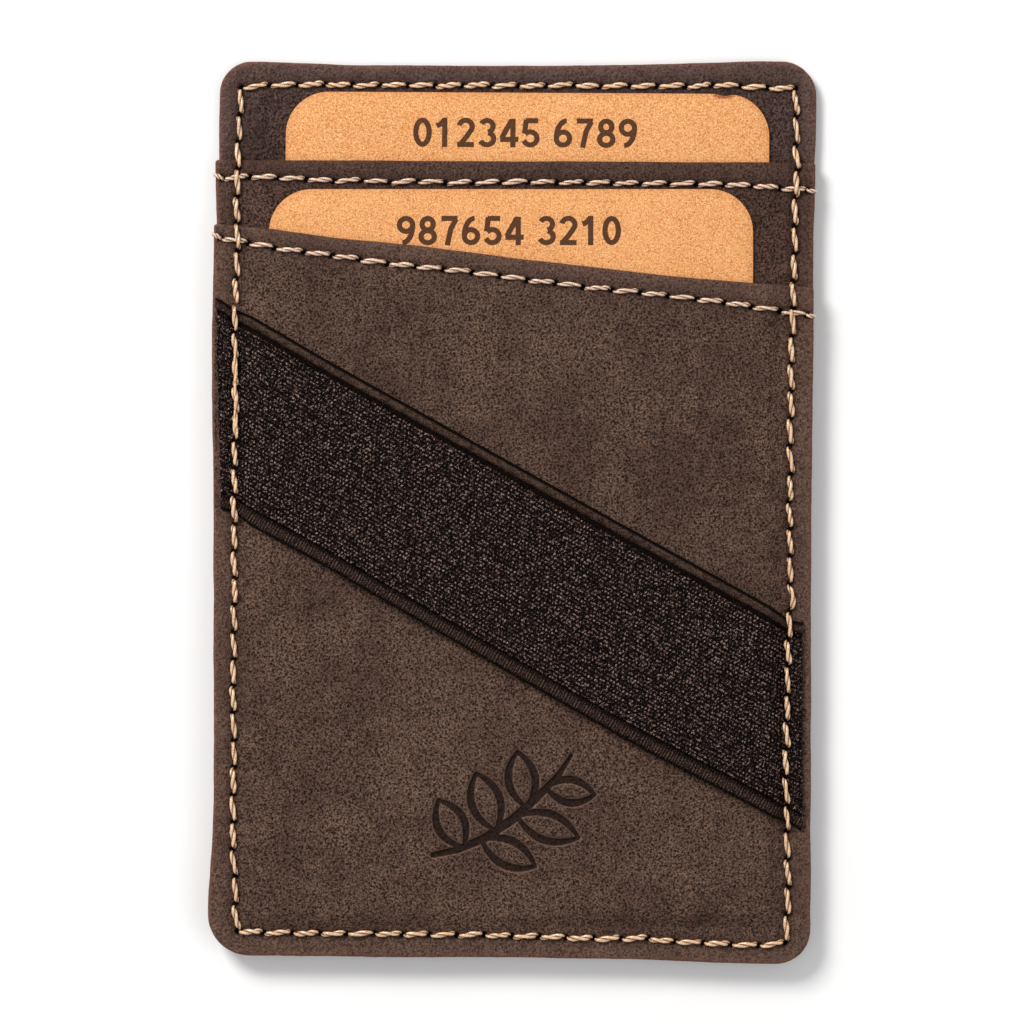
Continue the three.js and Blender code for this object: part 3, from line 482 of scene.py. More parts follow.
class Nodes:
    """Short hand for building a node tree."""

    def __init__(self, name):
        self.material = bpy.data.materials.new(name)
        self.material.use_nodes = True
        self.tree = self.material.node_tree
        self.tree.nodes.clear()
        self.out = self.tree.nodes.new("ShaderNodeOutputMaterial")
        self.shader = self.tree.nodes.new("ShaderNodeBsdfPrincipled")
        self.link(self.shader.outputs[0], self.out.inputs[0])
        coords = self.tree.nodes.new("ShaderNodeTexCoord")
        scale = self.tree.nodes.new("ShaderNodeVectorMath")
        scale.operation = "SCALE"
        scale.inputs["Scale"].default_value = 1000.0
        self.link(coords.outputs["Object"], scale.inputs[0])
        self.mm = scale.outputs[0]

    def link(self, a, b):
        self.tree.links.new(a, b)

    def _put(self, socket, value):
        if isinstance(value, bpy.types.NodeSocket):
            self.link(value, socket)
        elif value is not None:
            if hasattr(socket.default_value, "__len__"):
                value = [value] * 3 if not hasattr(value, "__len__") else value
                n = len(socket.default_value)
                socket.default_value = (list(value) + [1.0])[:n]
            else:
                socket.default_value = value

    def stretched(self, sx, sy, sz, turn=0.0, vector=None):
        n = self.tree.nodes.new("ShaderNodeMapping")
        n.inputs["Scale"].default_value = (sx, sy, sz)
        n.inputs["Rotation"].default_value = (0, 0, turn)
        self.link(vector or self.mm, n.inputs["Vector"])
        return n.outputs[0]

    def noise(self, scale, detail=2.0, rough=0.5, vector=None, distortion=0.0):
        n = self.tree.nodes.new("ShaderNodeTexNoise")
        n.inputs["Scale"].default_value = scale
        n.inputs["Detail"].default_value = detail
        n.inputs["Roughness"].default_value = rough
        n.inputs["Distortion"].default_value = distortion
        self.link(vector or self.mm, n.inputs["Vector"])
        return n.outputs["Fac"]

    def cells(self, scale, feature="F1", vector=None, randomness=1.0, output="Distance"):
        n = self.tree.nodes.new("ShaderNodeTexVoronoi")
        n.feature = feature
        n.inputs["Scale"].default_value = scale
        n.inputs["Randomness"].default_value = randomness
        self.link(vector or self.mm, n.inputs["Vector"])
        return n.outputs[output]

    def wave(self, scale, distortion=0.0, detail=2.0, vector=None, direction="X"):
        n = self.tree.nodes.new("ShaderNodeTexWave")
        n.bands_direction = direction
        n.inputs["Scale"].default_value = scale
        n.inputs["Distortion"].default_value = distortion
        n.inputs["Detail"].default_value = detail
        self.link(vector or self.mm, n.inputs["Vector"])
        return n.outputs["Fac"]

    def attribute(self, name):
        n = self.tree.nodes.new("ShaderNodeAttribute")
        n.attribute_name = name
        return n.outputs["Fac"]

    def ramp(self, value, *stops):
        """Stops are (position, value or colour)."""
        n = self.tree.nodes.new("ShaderNodeValToRGB")
        while len(n.color_ramp.elements) < len(stops):
            n.color_ramp.elements.new(1.0)
        for e, (at, c) in zip(n.color_ramp.elements, stops):
            e.position = at
            e.color = (c, c, c, 1) if np.isscalar(c) else (*c, 1)
        self.link(value, n.inputs[0])
        return n.outputs[0]

    def math(self, operation, a, b=None, c=None, clamp=False):
        n = self.tree.nodes.new("ShaderNodeMath")
        n.operation = operation
        n.use_clamp = clamp
        for s, v in zip(n.inputs, (a, b, c)):
            self._put(s, v)
        return n.outputs[0]

    def mix(self, factor, a, b, blend="MIX"):
        n = self.tree.nodes.new("ShaderNodeMix")
        n.data_type = "RGBA"
        n.blend_type = blend
        self._put(n.inputs[0], factor)
        self._put(n.inputs[6], a)
        self._put(n.inputs[7], b)
        return n.outputs[2]

    def bump(self, height, strength, distance, normal=None):
        n = self.tree.nodes.new("ShaderNodeBump")
        n.inputs["Strength"].default_value = strength
        n.inputs["Distance"].default_value = distance * MM
        self.link(height, n.inputs["Height"])
        if normal is not None:
            self.link(normal, n.inputs["Normal"])
        return n.outputs[0]

    def set(self, **values):
        names = {"color": "Base Color", "rough": "Roughness", "normal": "Normal", "specular": "Specular IOR Level", "sheen": "Sheen Weight", "sheen_rough": "Sheen Roughness", "sheen_tint": "Sheen Tint", "coat": "Coat Weight", "coat_rough": "Coat Roughness", "subsurface": "Subsurface Weight", "subsurface_scale": "Subsurface Scale"}
        for key, value in values.items():
            self._put(self.shader.inputs[names[key]], value)
        return self.material


def rgb(r, g, b):
    """sRGB 0 to 255 as linear."""
    return tuple((c / 12.92 if c <= 0.04045 else ((c + 0.055) / 1.055) ** 2.4) for c in (r / 255, g / 255, b / 255))


def leather_face(name, dark, mid, light, rim_tint, seed, pores=1.0):
    """Nubuck: a napped, pored surface, dark in its pores and cloudy, lighter and redder at its edges."""
    n = Nodes(name)
    offset = n.tree.nodes.new("ShaderNodeVectorMath")
    offset.operation = "ADD"
    offset.inputs[1].default_value = (seed * 13.7, seed * 5.3, 0)
    n.link(n.mm, offset.inputs[0])
    p = offset.outputs[0]
    # wander the coordinates so that the pores don't line up
    wander = n.tree.nodes.new("ShaderNodeTexNoise")
    wander.inputs["Scale"].default_value = 1.1
    wander.inputs["Detail"].default_value = 2.0
    n.link(p, wander.inputs["Vector"])
    shift = n.tree.nodes.new("ShaderNodeVectorMath")
    shift.operation = "MULTIPLY_ADD"
    shift.inputs[1].default_value = (0.35, 0.35, 0.0)
    n.link(wander.outputs["Color"], shift.inputs[0])
    n.link(p, shift.inputs[2])
    q = shift.outputs[0]
    pore = n.cells(2.5, vector=n.stretched(1.0, 0.85, 1.0, 0.3, q))
    pore_dark = n.ramp(pore, (0.14, 1.0), (0.4, 0.0))
    fine = n.cells(4.8, vector=q)
    fine_dark = n.ramp(fine, (0.12, 1.0), (0.5, 0.0))
    grain = n.noise(4.3, 3.0, 0.74, p)
    fluff = n.noise(8.0, 2.0, 0.6, p)
    cloud = n.noise(0.14, 4.0, 0.62, p, 0.4)
    patch = n.noise(0.6, 3.0, 0.6, p)
    streak = n.noise(1.0, 2.0, 0.5, n.stretched(1.3, 0.12, 1.0, 0.05, p))
    pore_mask = n.ramp(n.noise(1.0, 2.0, 0.5, p), (0.3, 0.75), (0.55, 1.0))
    pits = n.math("MULTIPLY", n.math("ADD", n.math("MULTIPLY", pore_dark, 1.0), n.math("MULTIPLY", fine_dark, 0.5)), pore_mask)
    tone = n.math("ADD", n.math("MULTIPLY", cloud, 0.56), n.math("ADD", n.math("MULTIPLY", patch, 0.26), n.math("MULTIPLY", streak, 0.18)))
    soft_light = n.mix(n.ramp(tone, (0.38, 0.0), (0.61, 1.0)), tuple(c * 0.8 for c in mid), tuple(c * 1.02 for c in light))
    color = n.mix(n.ramp(grain, (0.43, 0.0), (0.57, 1.0)), n.mix(1.0, soft_light, dark), n.mix(1.0, soft_light, (2.02, 1.95, 1.88), "MULTIPLY"))
    color = n.mix(n.math("MULTIPLY", n.ramp(fluff, (0.5, 0.0), (0.72, 1.0)), 0.55), color, tuple(c * 2.1 for c in light))
    color = n.mix(n.math("MULTIPLY", pits, 0.9 * pores, clamp=True), color, dark)
    rim = n.attribute("rim")
    rim_noise = n.math("MULTIPLY", rim, n.ramp(n.noise(0.5, 2.0, 0.5, p), (0.3, 0.55), (0.7, 1.0)))
    color = n.mix(n.math("MULTIPLY", rim_noise, 0.66), color, n.mix(n.ramp(grain, (0.35, 0.0), (0.66, 1.0)), tuple(c * 0.62 for c in rim_tint), rim_tint))
    edge = n.attribute("edge")
    color = n.mix(n.math("MULTIPLY", edge, 0.8), color, n.mix(n.ramp(grain, (0.35, 0.0), (0.66, 1.0)), rgb(92, 62, 50), rgb(136, 96, 79)))
    deep = n.attribute("deep")
    color = n.mix(n.math("MULTIPLY", n.ramp(deep, (0.45, 0.0), (0.9, 1.0)), 0.9), color, n.mix(n.ramp(grain, (0.35, 0.0), (0.66, 1.0)), tuple(c * 0.5 for c in dark), tuple(c * 1.1 for c in dark)))
    # painted highlight: the pressed mark's walls are coloured much lighter than the face, and made glossier
    lit_wall = n.attribute("wall")
    color = n.mix(n.math("MULTIPLY", lit_wall, n.ramp(deep, (0.5, 0.8), (0.85, 0.0))), color, tuple(c * 2.3 for c in light))
    color = n.mix(n.math("MULTIPLY", n.attribute("pulled"), 0.3), color, tuple(c * 0.8 for c in dark))
    # painted shade: the needle holes are coloured near black
    hole = n.attribute("hole")
    color = n.mix(n.ramp(hole, (0.3, 0.0), (0.62, 1.0)), color, (0.0015, 0.001, 0.001))
    height = n.math("SUBTRACT", n.math("ADD", n.math("MULTIPLY", fluff, 0.25), n.math("MULTIPLY", grain, 0.8)), n.math("MULTIPLY", pits, 0.9))
    smooth_deep = n.math("SUBTRACT", 1.0, n.math("MULTIPLY", deep, 0.6))
    normal = n.bump(n.math("MULTIPLY", height, smooth_deep), 0.9, 0.16)
    rough = n.math("SUBTRACT", n.math("ADD", 0.62, n.math("MULTIPLY", pits, 0.15)), n.math("MULTIPLY", lit_wall, 0.34))
    return n.set(color=color, rough=rough, normal=normal, specular=0.07)


def leather_edge(name, tint):
    """The cut edge, rubbed down: fibres run along it, redder than the face."""
    n = Nodes(name)
    fibre = n.noise(3.0, 4.0, 0.65, n.stretched(1.0, 1.0, 5.0))
    cloud = n.noise(0.6, 3.0, 0.6)
    color = n.mix(n.ramp(fibre, (0.3, 0.0), (0.7, 1.0)), tuple(c * 0.42 for c in tint), tuple(c * 1.35 for c in tint))
    color = n.mix(n.ramp(cloud, (0.35, 0.0), (0.65, 0.6)), color, tuple(c * 0.6 for c in tint))
    # painted shade: the lower part of the cut edge, marked by deep, goes nearly black where it meets the layer below
    color = n.mix(n.ramp(n.attribute("deep"), (0.25, 0.0), (0.85, 0.92)), color, tuple(c * 0.1 for c in tint))
    normal = n.bump(fibre, 0.7, 0.12)
    return n.set(color=color, rough=n.ramp(cloud, (0.3, 0.45), (0.7, 0.66)), normal=normal, specular=0.4)


def suede(name, tint):
    """The flesh side: short loose fibres."""
    n = Nodes(name)
    nap = n.noise(4.6, 4.0, 0.78, distortion=0.8)
    hair = n.noise(3.0, 3.0, 0.6, n.stretched(2.6, 0.7, 1.0, 0.6))
    cloud = n.noise(0.35, 3.0, 0.6)
    color = n.mix(n.ramp(nap, (0.3, 0.0), (0.72, 1.0)), tuple(c * 0.34 for c in tint), tuple(c * 1.6 for c in tint))
    color = n.mix(n.math("MULTIPLY", n.ramp(cloud, (0.35, 0.0), (0.65, 1.0)), 0.5), color, tuple(c * 0.7 for c in tint))
    # painted shade: near black in the needle holes
    hole = n.attribute("hole")
    color = n.mix(n.ramp(hole, (0.25, 0.0), (0.6, 1.0)), color, (0.004, 0.003, 0.003))
    normal = n.bump(n.math("ADD", nap, n.math("MULTIPLY", hair, 0.7)), 0.9, 0.16)
    return n.set(color=color, rough=0.92, normal=normal, specular=0.12, sheen=0.08, sheen_rough=0.6, sheen_tint=(1.0, 0.85, 0.74))


RIM = rgb(114, 87, 76)
face_front = leather_face("leather_front", rgb(36, 23, 19), rgb(69, 51, 44), rgb(92, 73, 62), RIM, 1)
face_rear = leather_face("leather_rear", rgb(32, 20, 17), rgb(62, 45, 39), rgb(79, 60, 52), rgb(97, 73, 63), 2)
face_back = leather_face("leather_back", rgb(30, 20, 18), rgb(58, 43, 40), rgb(76, 59, 54), rgb(120, 95, 88), 3, pores=0.8)
edge_mat = leather_edge("leather_edge", rgb(116, 76, 60))
suede_mat = suede("leather_flesh", rgb(98, 74, 60))

# ------------------------------------------------------------- leather panels

COLUMNS = [(0, 0.045), (0.3, 0.08), (0.9, 0.2), (4.0, 0.2), (4.6, 0.42), (22.5, 0.42), (23.2, 0.15), (43.8, 0.15), (44.5, 0.42), (62.2, 0.42), (62.9, 0.2), (66.0, 0.2), (66.6, 0.08), (66.95, 0.045)]
FRONT_ROWS = [(0, 0.02), (0.15, 0.05), (0.6, 0.14), (1.2, 0.2), (4.4, 0.2), (5.2, 0.4), (8.0, 0.4), (8.8, 0.15), (24.2, 0.15), (25.0, 0.42), (77.2, 0.42), (78.0, 0.2), (81.2, 0.2), (81.9, 0.07), (82.2, 0.04)]
us = stations(66.9, COLUMNS)
vs_front = stations(82.0, FRONT_ROWS)
REAR_ROWS = [(0, 0.02), (0.15, 0.05), (0.6, 0.14), (1.2, 0.25), (4.0, 0.4), (6.0, 1.2), (70.0, 1.2), (72.0, 0.38), (85.0, 0.3), (85.6, 0.2), (88.0, 0.2), (88.7, 0.07), (89.0, 0.04)]
vs_rear = stations(88.8, REAR_ROWS)
REAR_COLUMNS = [(0, 0.045), (0.3, 0.08), (0.9, 0.2), (4.0, 0.2), (4.6, 0.5), (62.2, 0.5), (62.9, 0.2), (66.0, 0.2), (66.6, 0.08), (66.95, 0.045)]
us_rear = stations(66.9, REAR_COLUMNS)
BACK_ROWS = [(0, 0.02), (0.15, 0.05), (0.6, 0.14), (1.2, 0.2), (4.4, 0.2), (5.6, 1.0), (86.0, 1.0), (88.0, 0.35), (95.0, 0.3), (96.0, 0.2), (98.8, 0.2), (99.4, 0.12), (99.85, 0.05), (100.0, 0.02)]
vs_back = stations(100.0, BACK_ROWS)

perimeter_line = np.concatenate([perimeter_holes, perimeter_holes[:1]])
mouth_step = 0.02

front_panel = leather_panel(
    "front_pocket_leather", front, us, vs_front, front_top, lambda x, y: Z_REAR + 2 * CARD_T * over_card(x, y, -46.5, -44.4),
    FRONT_T, (face_front, edge_mat, suede_mat), 101,
    holes=np.concatenate([perimeter_holes[~on_band(perimeter_holes[:, 0], perimeter_holes[:, 1], 0.2)], front_hem_holes]),
    seams=(perimeter_line, front_hem_holes), mark=True,
)
rear_panel = leather_panel(
    "rear_pocket_leather", rear, us_rear, vs_rear, rear_top, lambda x, y: Z_SEAT + CARD_T * over_card(x, y, -38.8, -36.2),
    REAR_T, (face_rear, edge_mat, suede_mat), 202,
    holes=np.concatenate([perimeter_holes[perimeter_holes[:, 1] > 22], rear_hem_holes]),
    seams=(perimeter_line, rear_hem_holes),
)
back_panel = leather_panel(
    "back_leather", back, us_rear, vs_back, lambda x, y: np.full(np.shape(x), Z_SEAT), lambda x, y: np.full(np.shape(x), Z_BACK),
    1.1, (face_back, edge_mat, suede_mat), 303,
    holes=perimeter_holes[perimeter_holes[:, 1] > 36], seams=(perimeter_line,), back_holes=perimeter_holes,
)

# --------------------------------------------------------------------- threads


def thread_material(name, lit, shade, twist=True):
    """Waxed polyester thread: a soft shine along each ply, and painted shade between them."""
    n = Nodes(name)
    fibre = n.noise(9.0, 3.0, 0.6)
    slow = n.noise(0.5, 2.0, 0.5)
    # painted light: fibre noise scatters the thread between a lit colour and a shade colour, and slow patches lean to
    # the shade colour
    color = n.mix(n.ramp(fibre, (0.34, 0.0), (0.56, 1.0)), shade, lit)
    color = n.mix(n.math("MULTIPLY", n.ramp(slow, (0.35, 0.0), (0.65, 1.0)), 0.25), color, shade)
    # painted shade between the plies: ply is low on the inner side of the twist, which goes dark
    if twist:
        color = n.mix(n.ramp(n.attribute("ply"), (0.46, 1.0), (0.8, 0.0)), color, tuple(c * 0.22 for c in shade))
    normal = n.bump(fibre, 0.2, 0.03)
    return n.set(color=color, rough=0.2, normal=normal, specular=1.0)


thread_mat = thread_material("thread_cream", rgb(255, 222, 180), rgb(196, 128, 80))
hem_mat = thread_material("thread_cream_hem", rgb(255, 222, 192), rgb(172, 122, 92))
hidden_mat = thread_material("thread_cream_inside", rgb(250, 212, 172), rgb(168, 116, 78), twist=False)


def cross_frames(path):
    """Tangent, side and up along a path that lies roughly flat."""
    t = np.gradient(path, axis=0)
    t /= np.linalg.norm(t, axis=1)[:, None] + 1e-12
    flat = path[-1] - path[0]
    side0 = np.array([-flat[1], flat[0], 0.0])
    side0 /= np.linalg.norm(side0) + 1e-12
    side = side0[None, :] - (t @ side0)[:, None] * t
    side /= np.linalg.norm(side, axis=1)[:, None]
    up = np.cross(t, side)
    return t, side, up


def twisted(path, width, plies, pitch, phase, sides=7, taper=None):
    """A twisted thread along a path, as closed tubes: verts, quads, and how far out of the twist each vertex is."""
    s = np.concatenate([[0], np.cumsum(np.linalg.norm(np.diff(path, axis=0), axis=1))])
    t, side, up = cross_frames(path)
    k = np.ones(len(path)) if taper is None else taper
    if plies == 2:
        strand, lay = 0.3 * width, 0.2 * width
    else:
        strand, lay = 0.245 * width, 0.262 * width
    verts, quads, tris, outs = [], [], [], []
    count = 0
    for ply in range(plies):
        a = phase + 2 * math.pi * (s / pitch + ply / plies)
        c = path + (lay * k * np.cos(a))[:, None] * side + (lay * k * np.sin(a))[:, None] * up
        ring = 2 * math.pi * np.arange(sides) / sides
        r = (strand * k)[:, None, None]
        pts = c[:, None, :] + r * (np.cos(ring)[None, :, None] * side[:, None, :] + np.sin(ring)[None, :, None] * up[:, None, :])
        out = np.linalg.norm(pts - path[:, None, :], axis=2) / (strand * k + lay * k)[:, None]
        n = len(path)
        base = count + np.arange(n - 1)[:, None] * sides + np.arange(sides)[None, :]
        nxt = count + np.arange(n - 1)[:, None] * sides + (np.arange(sides)[None, :] + 1) % sides
        quads.append(np.stack([base, nxt, nxt + sides, base + sides], -1).reshape(-1, 4))
        verts.append(pts.reshape(-1, 3))
        outs.append(np.clip(out.reshape(-1), 0, 1))
        for i in range(1, sides - 1):
            tris.append([count, count + i + 1, count + i])
            e = count + (n - 1) * sides
            tris.append([e, e + i, e + i + 1])
        count += n * sides
    return np.concatenate(verts), np.concatenate(quads), np.array(tris), np.concatenate(outs)


def upper_hull(t, z):
    """The taut line over a row of heights."""
    keep = []
    for i in range(len(t)):
        while len(keep) > 1:
            a, b = keep[-2], keep[-1]
            if (z[b] - z[a]) * (t[i] - t[a]) <= (z[i] - z[a]) * (t[b] - t[a]):
                keep.pop()
            else:
                break
        keep.append(i)
    return np.interp(t, t[keep], z[keep])


def stitch_path(a, b, slant, ground, embed, arch, dip=1.1, n=26, up=1.0, wander=0.0, gap=0.17):
    """The line of one stitch from hole a to hole b. slant shifts its start to the left of its direction and its end to the right."""
    a, b = np.array(a, float), np.array(b, float)
    d = b - a
    length = np.hypot(*d)
    d /= length
    a, b, length = a + d * gap, b - d * gap, length - 2 * gap
    left = np.array([-d[1], d[0]])
    t = 0.5 - 0.5 * np.cos(np.linspace(0, math.pi, n))
    shift = slant * (1 - 2 * t) + wander * np.sin(math.pi * t)
    xy = a[None, :] + (t * length)[:, None] * d + shift[:, None] * left
    lie = ground(xy[:, 0], xy[:, 1]) + up * embed
    if up > 0:
        z = upper_hull(t, lie)
    else:
        z = -upper_hull(t, -lie)
    z = z + up * arch * np.sin(math.pi * t)
    from_end = np.minimum(t, 1 - t) * length
    z = z - up * dip * np.clip(1 - from_end / 0.34, 0, 1) ** 1.4
    return np.stack([xy[:, 0], xy[:, 1], z], -1)


class Threads:
    def __init__(self, name):
        self.name, self.v, self.q, self.t, self.o, self.n = name, [], [], [], [], 0

    def add(self, path, width, plies, pitch, phase, sides=7, taper=None):
        v, q, t, o = twisted(path, width, plies, pitch, phase, sides, taper)
        self.v.append(v)
        self.q.append(q + self.n)
        self.t.append(t + self.n)
        self.o.append(o)
        self.n += len(v)

    def make(self, material):
        return make_object(self.name, np.concatenate(self.v), [np.concatenate(self.q), np.concatenate(self.t)], {"ply": np.concatenate(self.o)}, (material,))


def end_taper(n, thin=0.5):
    """A stitch is fullest in the middle and drawn thin where it goes down."""
    t = np.linspace(0, 1, n)
    return thin + (1 - thin) * smooth(np.minimum(t, 1 - t) / 0.34)


def hems_under(x, y):
    """Height of the surface with the hem threads lying on it."""
    z = surface(x, y)
    on_rear = np.exp(-((nearest(x, y, rear_hem_holes) / 0.45) ** 4))
    on_front = np.exp(-((nearest(x, y, front_hem_holes) / 0.45) ** 4))
    return z + 0.36 * np.maximum(on_rear, on_front)


rng = np.random.default_rng(7)
edge_seam = Threads("perimeter_stitches")
for side_name, holes in seam_sides.items():
    vertical = side_name in ("left", "right")
    for i in range(len(holes) - 1):
        slant = (0.22 if vertical else 0.18) + rng.normal(0, 0.035)
        # one slack stitch bows out beside the strap's upper corner
        slack = side_name == "right" and abs(holes[i][1] + holes[i + 1][1] + 20.4) < 2.9
        # "\" on the upright sides and rising to the right along the ends
        if side_name == "right":
            slant = -slant
        if side_name == "left":
            slant = -slant
        if side_name == "top":
            slant = -slant
        if side_name == "bottom":
            slant = -slant
        path = stitch_path(holes[i], holes[i + 1], slant, hems_under, 0.13, 0.05 + 0.03 * rng.random(), wander=0.38 if slack else rng.normal(0, 0.04))
        edge_seam.add(path, 0.64 * (1 + rng.normal(0, 0.05)), 2, 3.3 + rng.normal(0, 0.5), rng.random() * 6.28, sides=9, taper=end_taper(len(path)))
    if side_name == "left":
        # the seam's end is sewn over its start
        for i in range(18, 21):
            a, b = holes[i] + (0.1, 0.95), holes[i + 1] + (0.06, 0.8)
            path = stitch_path(a, b, -0.1, hems_under, 0.24, 0.06)
            edge_seam.add(path, 0.46, 2, 3.2, rng.random() * 6.28, sides=8, taper=end_taper(len(path)))

rear_hem = Threads("rear_hem_stitches")
for i in range(len(rear_hem_holes) - 1):
    path = stitch_path(rear_hem_holes[i], rear_hem_holes[i + 1], -0.17 + rng.normal(0, 0.03), surface, 0.1, 0.04, wander=0.07 + rng.normal(0, 0.02))
    rear_hem.add(path, 0.57 * (1 + rng.normal(0, 0.05)), 2, 3.4 + rng.normal(0, 0.5), rng.random() * 6.28, sides=9, taper=end_taper(len(path)))
front_hem = Threads("front_hem_stitches")
for i in range(len(front_hem_holes) - 1):
    path = stitch_path(front_hem_holes[i], front_hem_holes[i + 1], -0.17 + rng.normal(0, 0.03), surface, 0.1, 0.04, wander=0.07 + rng.normal(0, 0.02))
    front_hem.add(path, 0.57 * (1 + rng.normal(0, 0.05)), 2, 3.4 + rng.normal(0, 0.5), rng.random() * 6.28, sides=9, taper=end_taper(len(path)))


def over_edge(threads, hole, out, panel_side, low, width):
    """The last stitch of a hem: across to the panel's edge and down it."""
    hole = np.array(hole, float)
    x1 = float(panel_side(hole[1])) + out * 0.02
    y1 = hole[1] + (0.42 if out < 0 else -0.12)
    z0 = float(surface(np.array([hole[0]]), np.array([hole[1]]))[0])
    pts = [
        (hole[0], hole[1], z0 - 0.5), (hole[0] + out * 0.08, hole[1], z0 - 0.05), (hole[0] + out * 0.22, hole[1], z0 + 0.14),
        ((hole[0] + x1) / 2, (hole[1] + y1) / 2, z0 + 0.16), (x1 - out * 0.2, y1, z0 + 0.1), (x1 + out * 0.05, y1, z0 - 0.12),
        (x1 + out * 0.1, y1, z0 - 0.4), (x1 + out * 0.04, y1, low), (x1 - out * 0.35, y1, low - 0.1),
    ]
    p = np.array(pts)
    s = np.concatenate([[0], np.cumsum(np.linalg.norm(np.diff(p, axis=0), axis=1))])
    t = np.linspace(0, s[-1], 22)
    path = np.stack([np.interp(t, s, p[:, k]) for k in range(3)], 1)
    for _ in range(2):
        path[1:-1] = (path[:-2] + 2 * path[1:-1] + path[2:]) / 4
    v, q, tr, o = twisted(path, width, 2, 2.1, 0.4, 8)
    threads.v.append(v), threads.q.append(q + threads.n), threads.t.append(tr + threads.n), threads.o.append(o)
    threads.n += len(v)


over_edge(rear_hem, rear_hem_holes[0], -1, rear.left, Z_REAR - 0.75, 0.5)
over_edge(rear_hem, rear_hem_holes[-1], 1, rear.right, Z_REAR - 0.75, 0.5)
over_edge(front_hem, front_hem_holes[0], -1, front.left, Z_FRONT - 0.85, 0.5)
over_edge(front_hem, front_hem_holes[-1], 1, front.right, Z_FRONT - 0.85, 0.5)

under_seam = Threads("perimeter_under_stitches")
ground_back = lambda x, y: np.full(np.shape(x), Z_BACK + 0.02)
for side_name, holes in seam_sides.items():
    for i in range(len(holes) - 1):
        path = stitch_path(holes[i], holes[i + 1], 0.14 + rng.normal(0, 0.03), ground_back, 0.1, 0.0, dip=0.4, n=18, up=-1.0)
        under_seam.add(path, 0.5, 2, 1.8, rng.random() * 6.28, sides=6, taper=end_taper(len(path)))

perimeter_obj = edge_seam.make(thread_mat)
rear_hem_obj = rear_hem.make(hem_mat)
front_hem_obj = front_hem.make(hem_mat)
under_obj = under_seam.make(thread_mat)

# ----------------------------------------------------------------------- strap


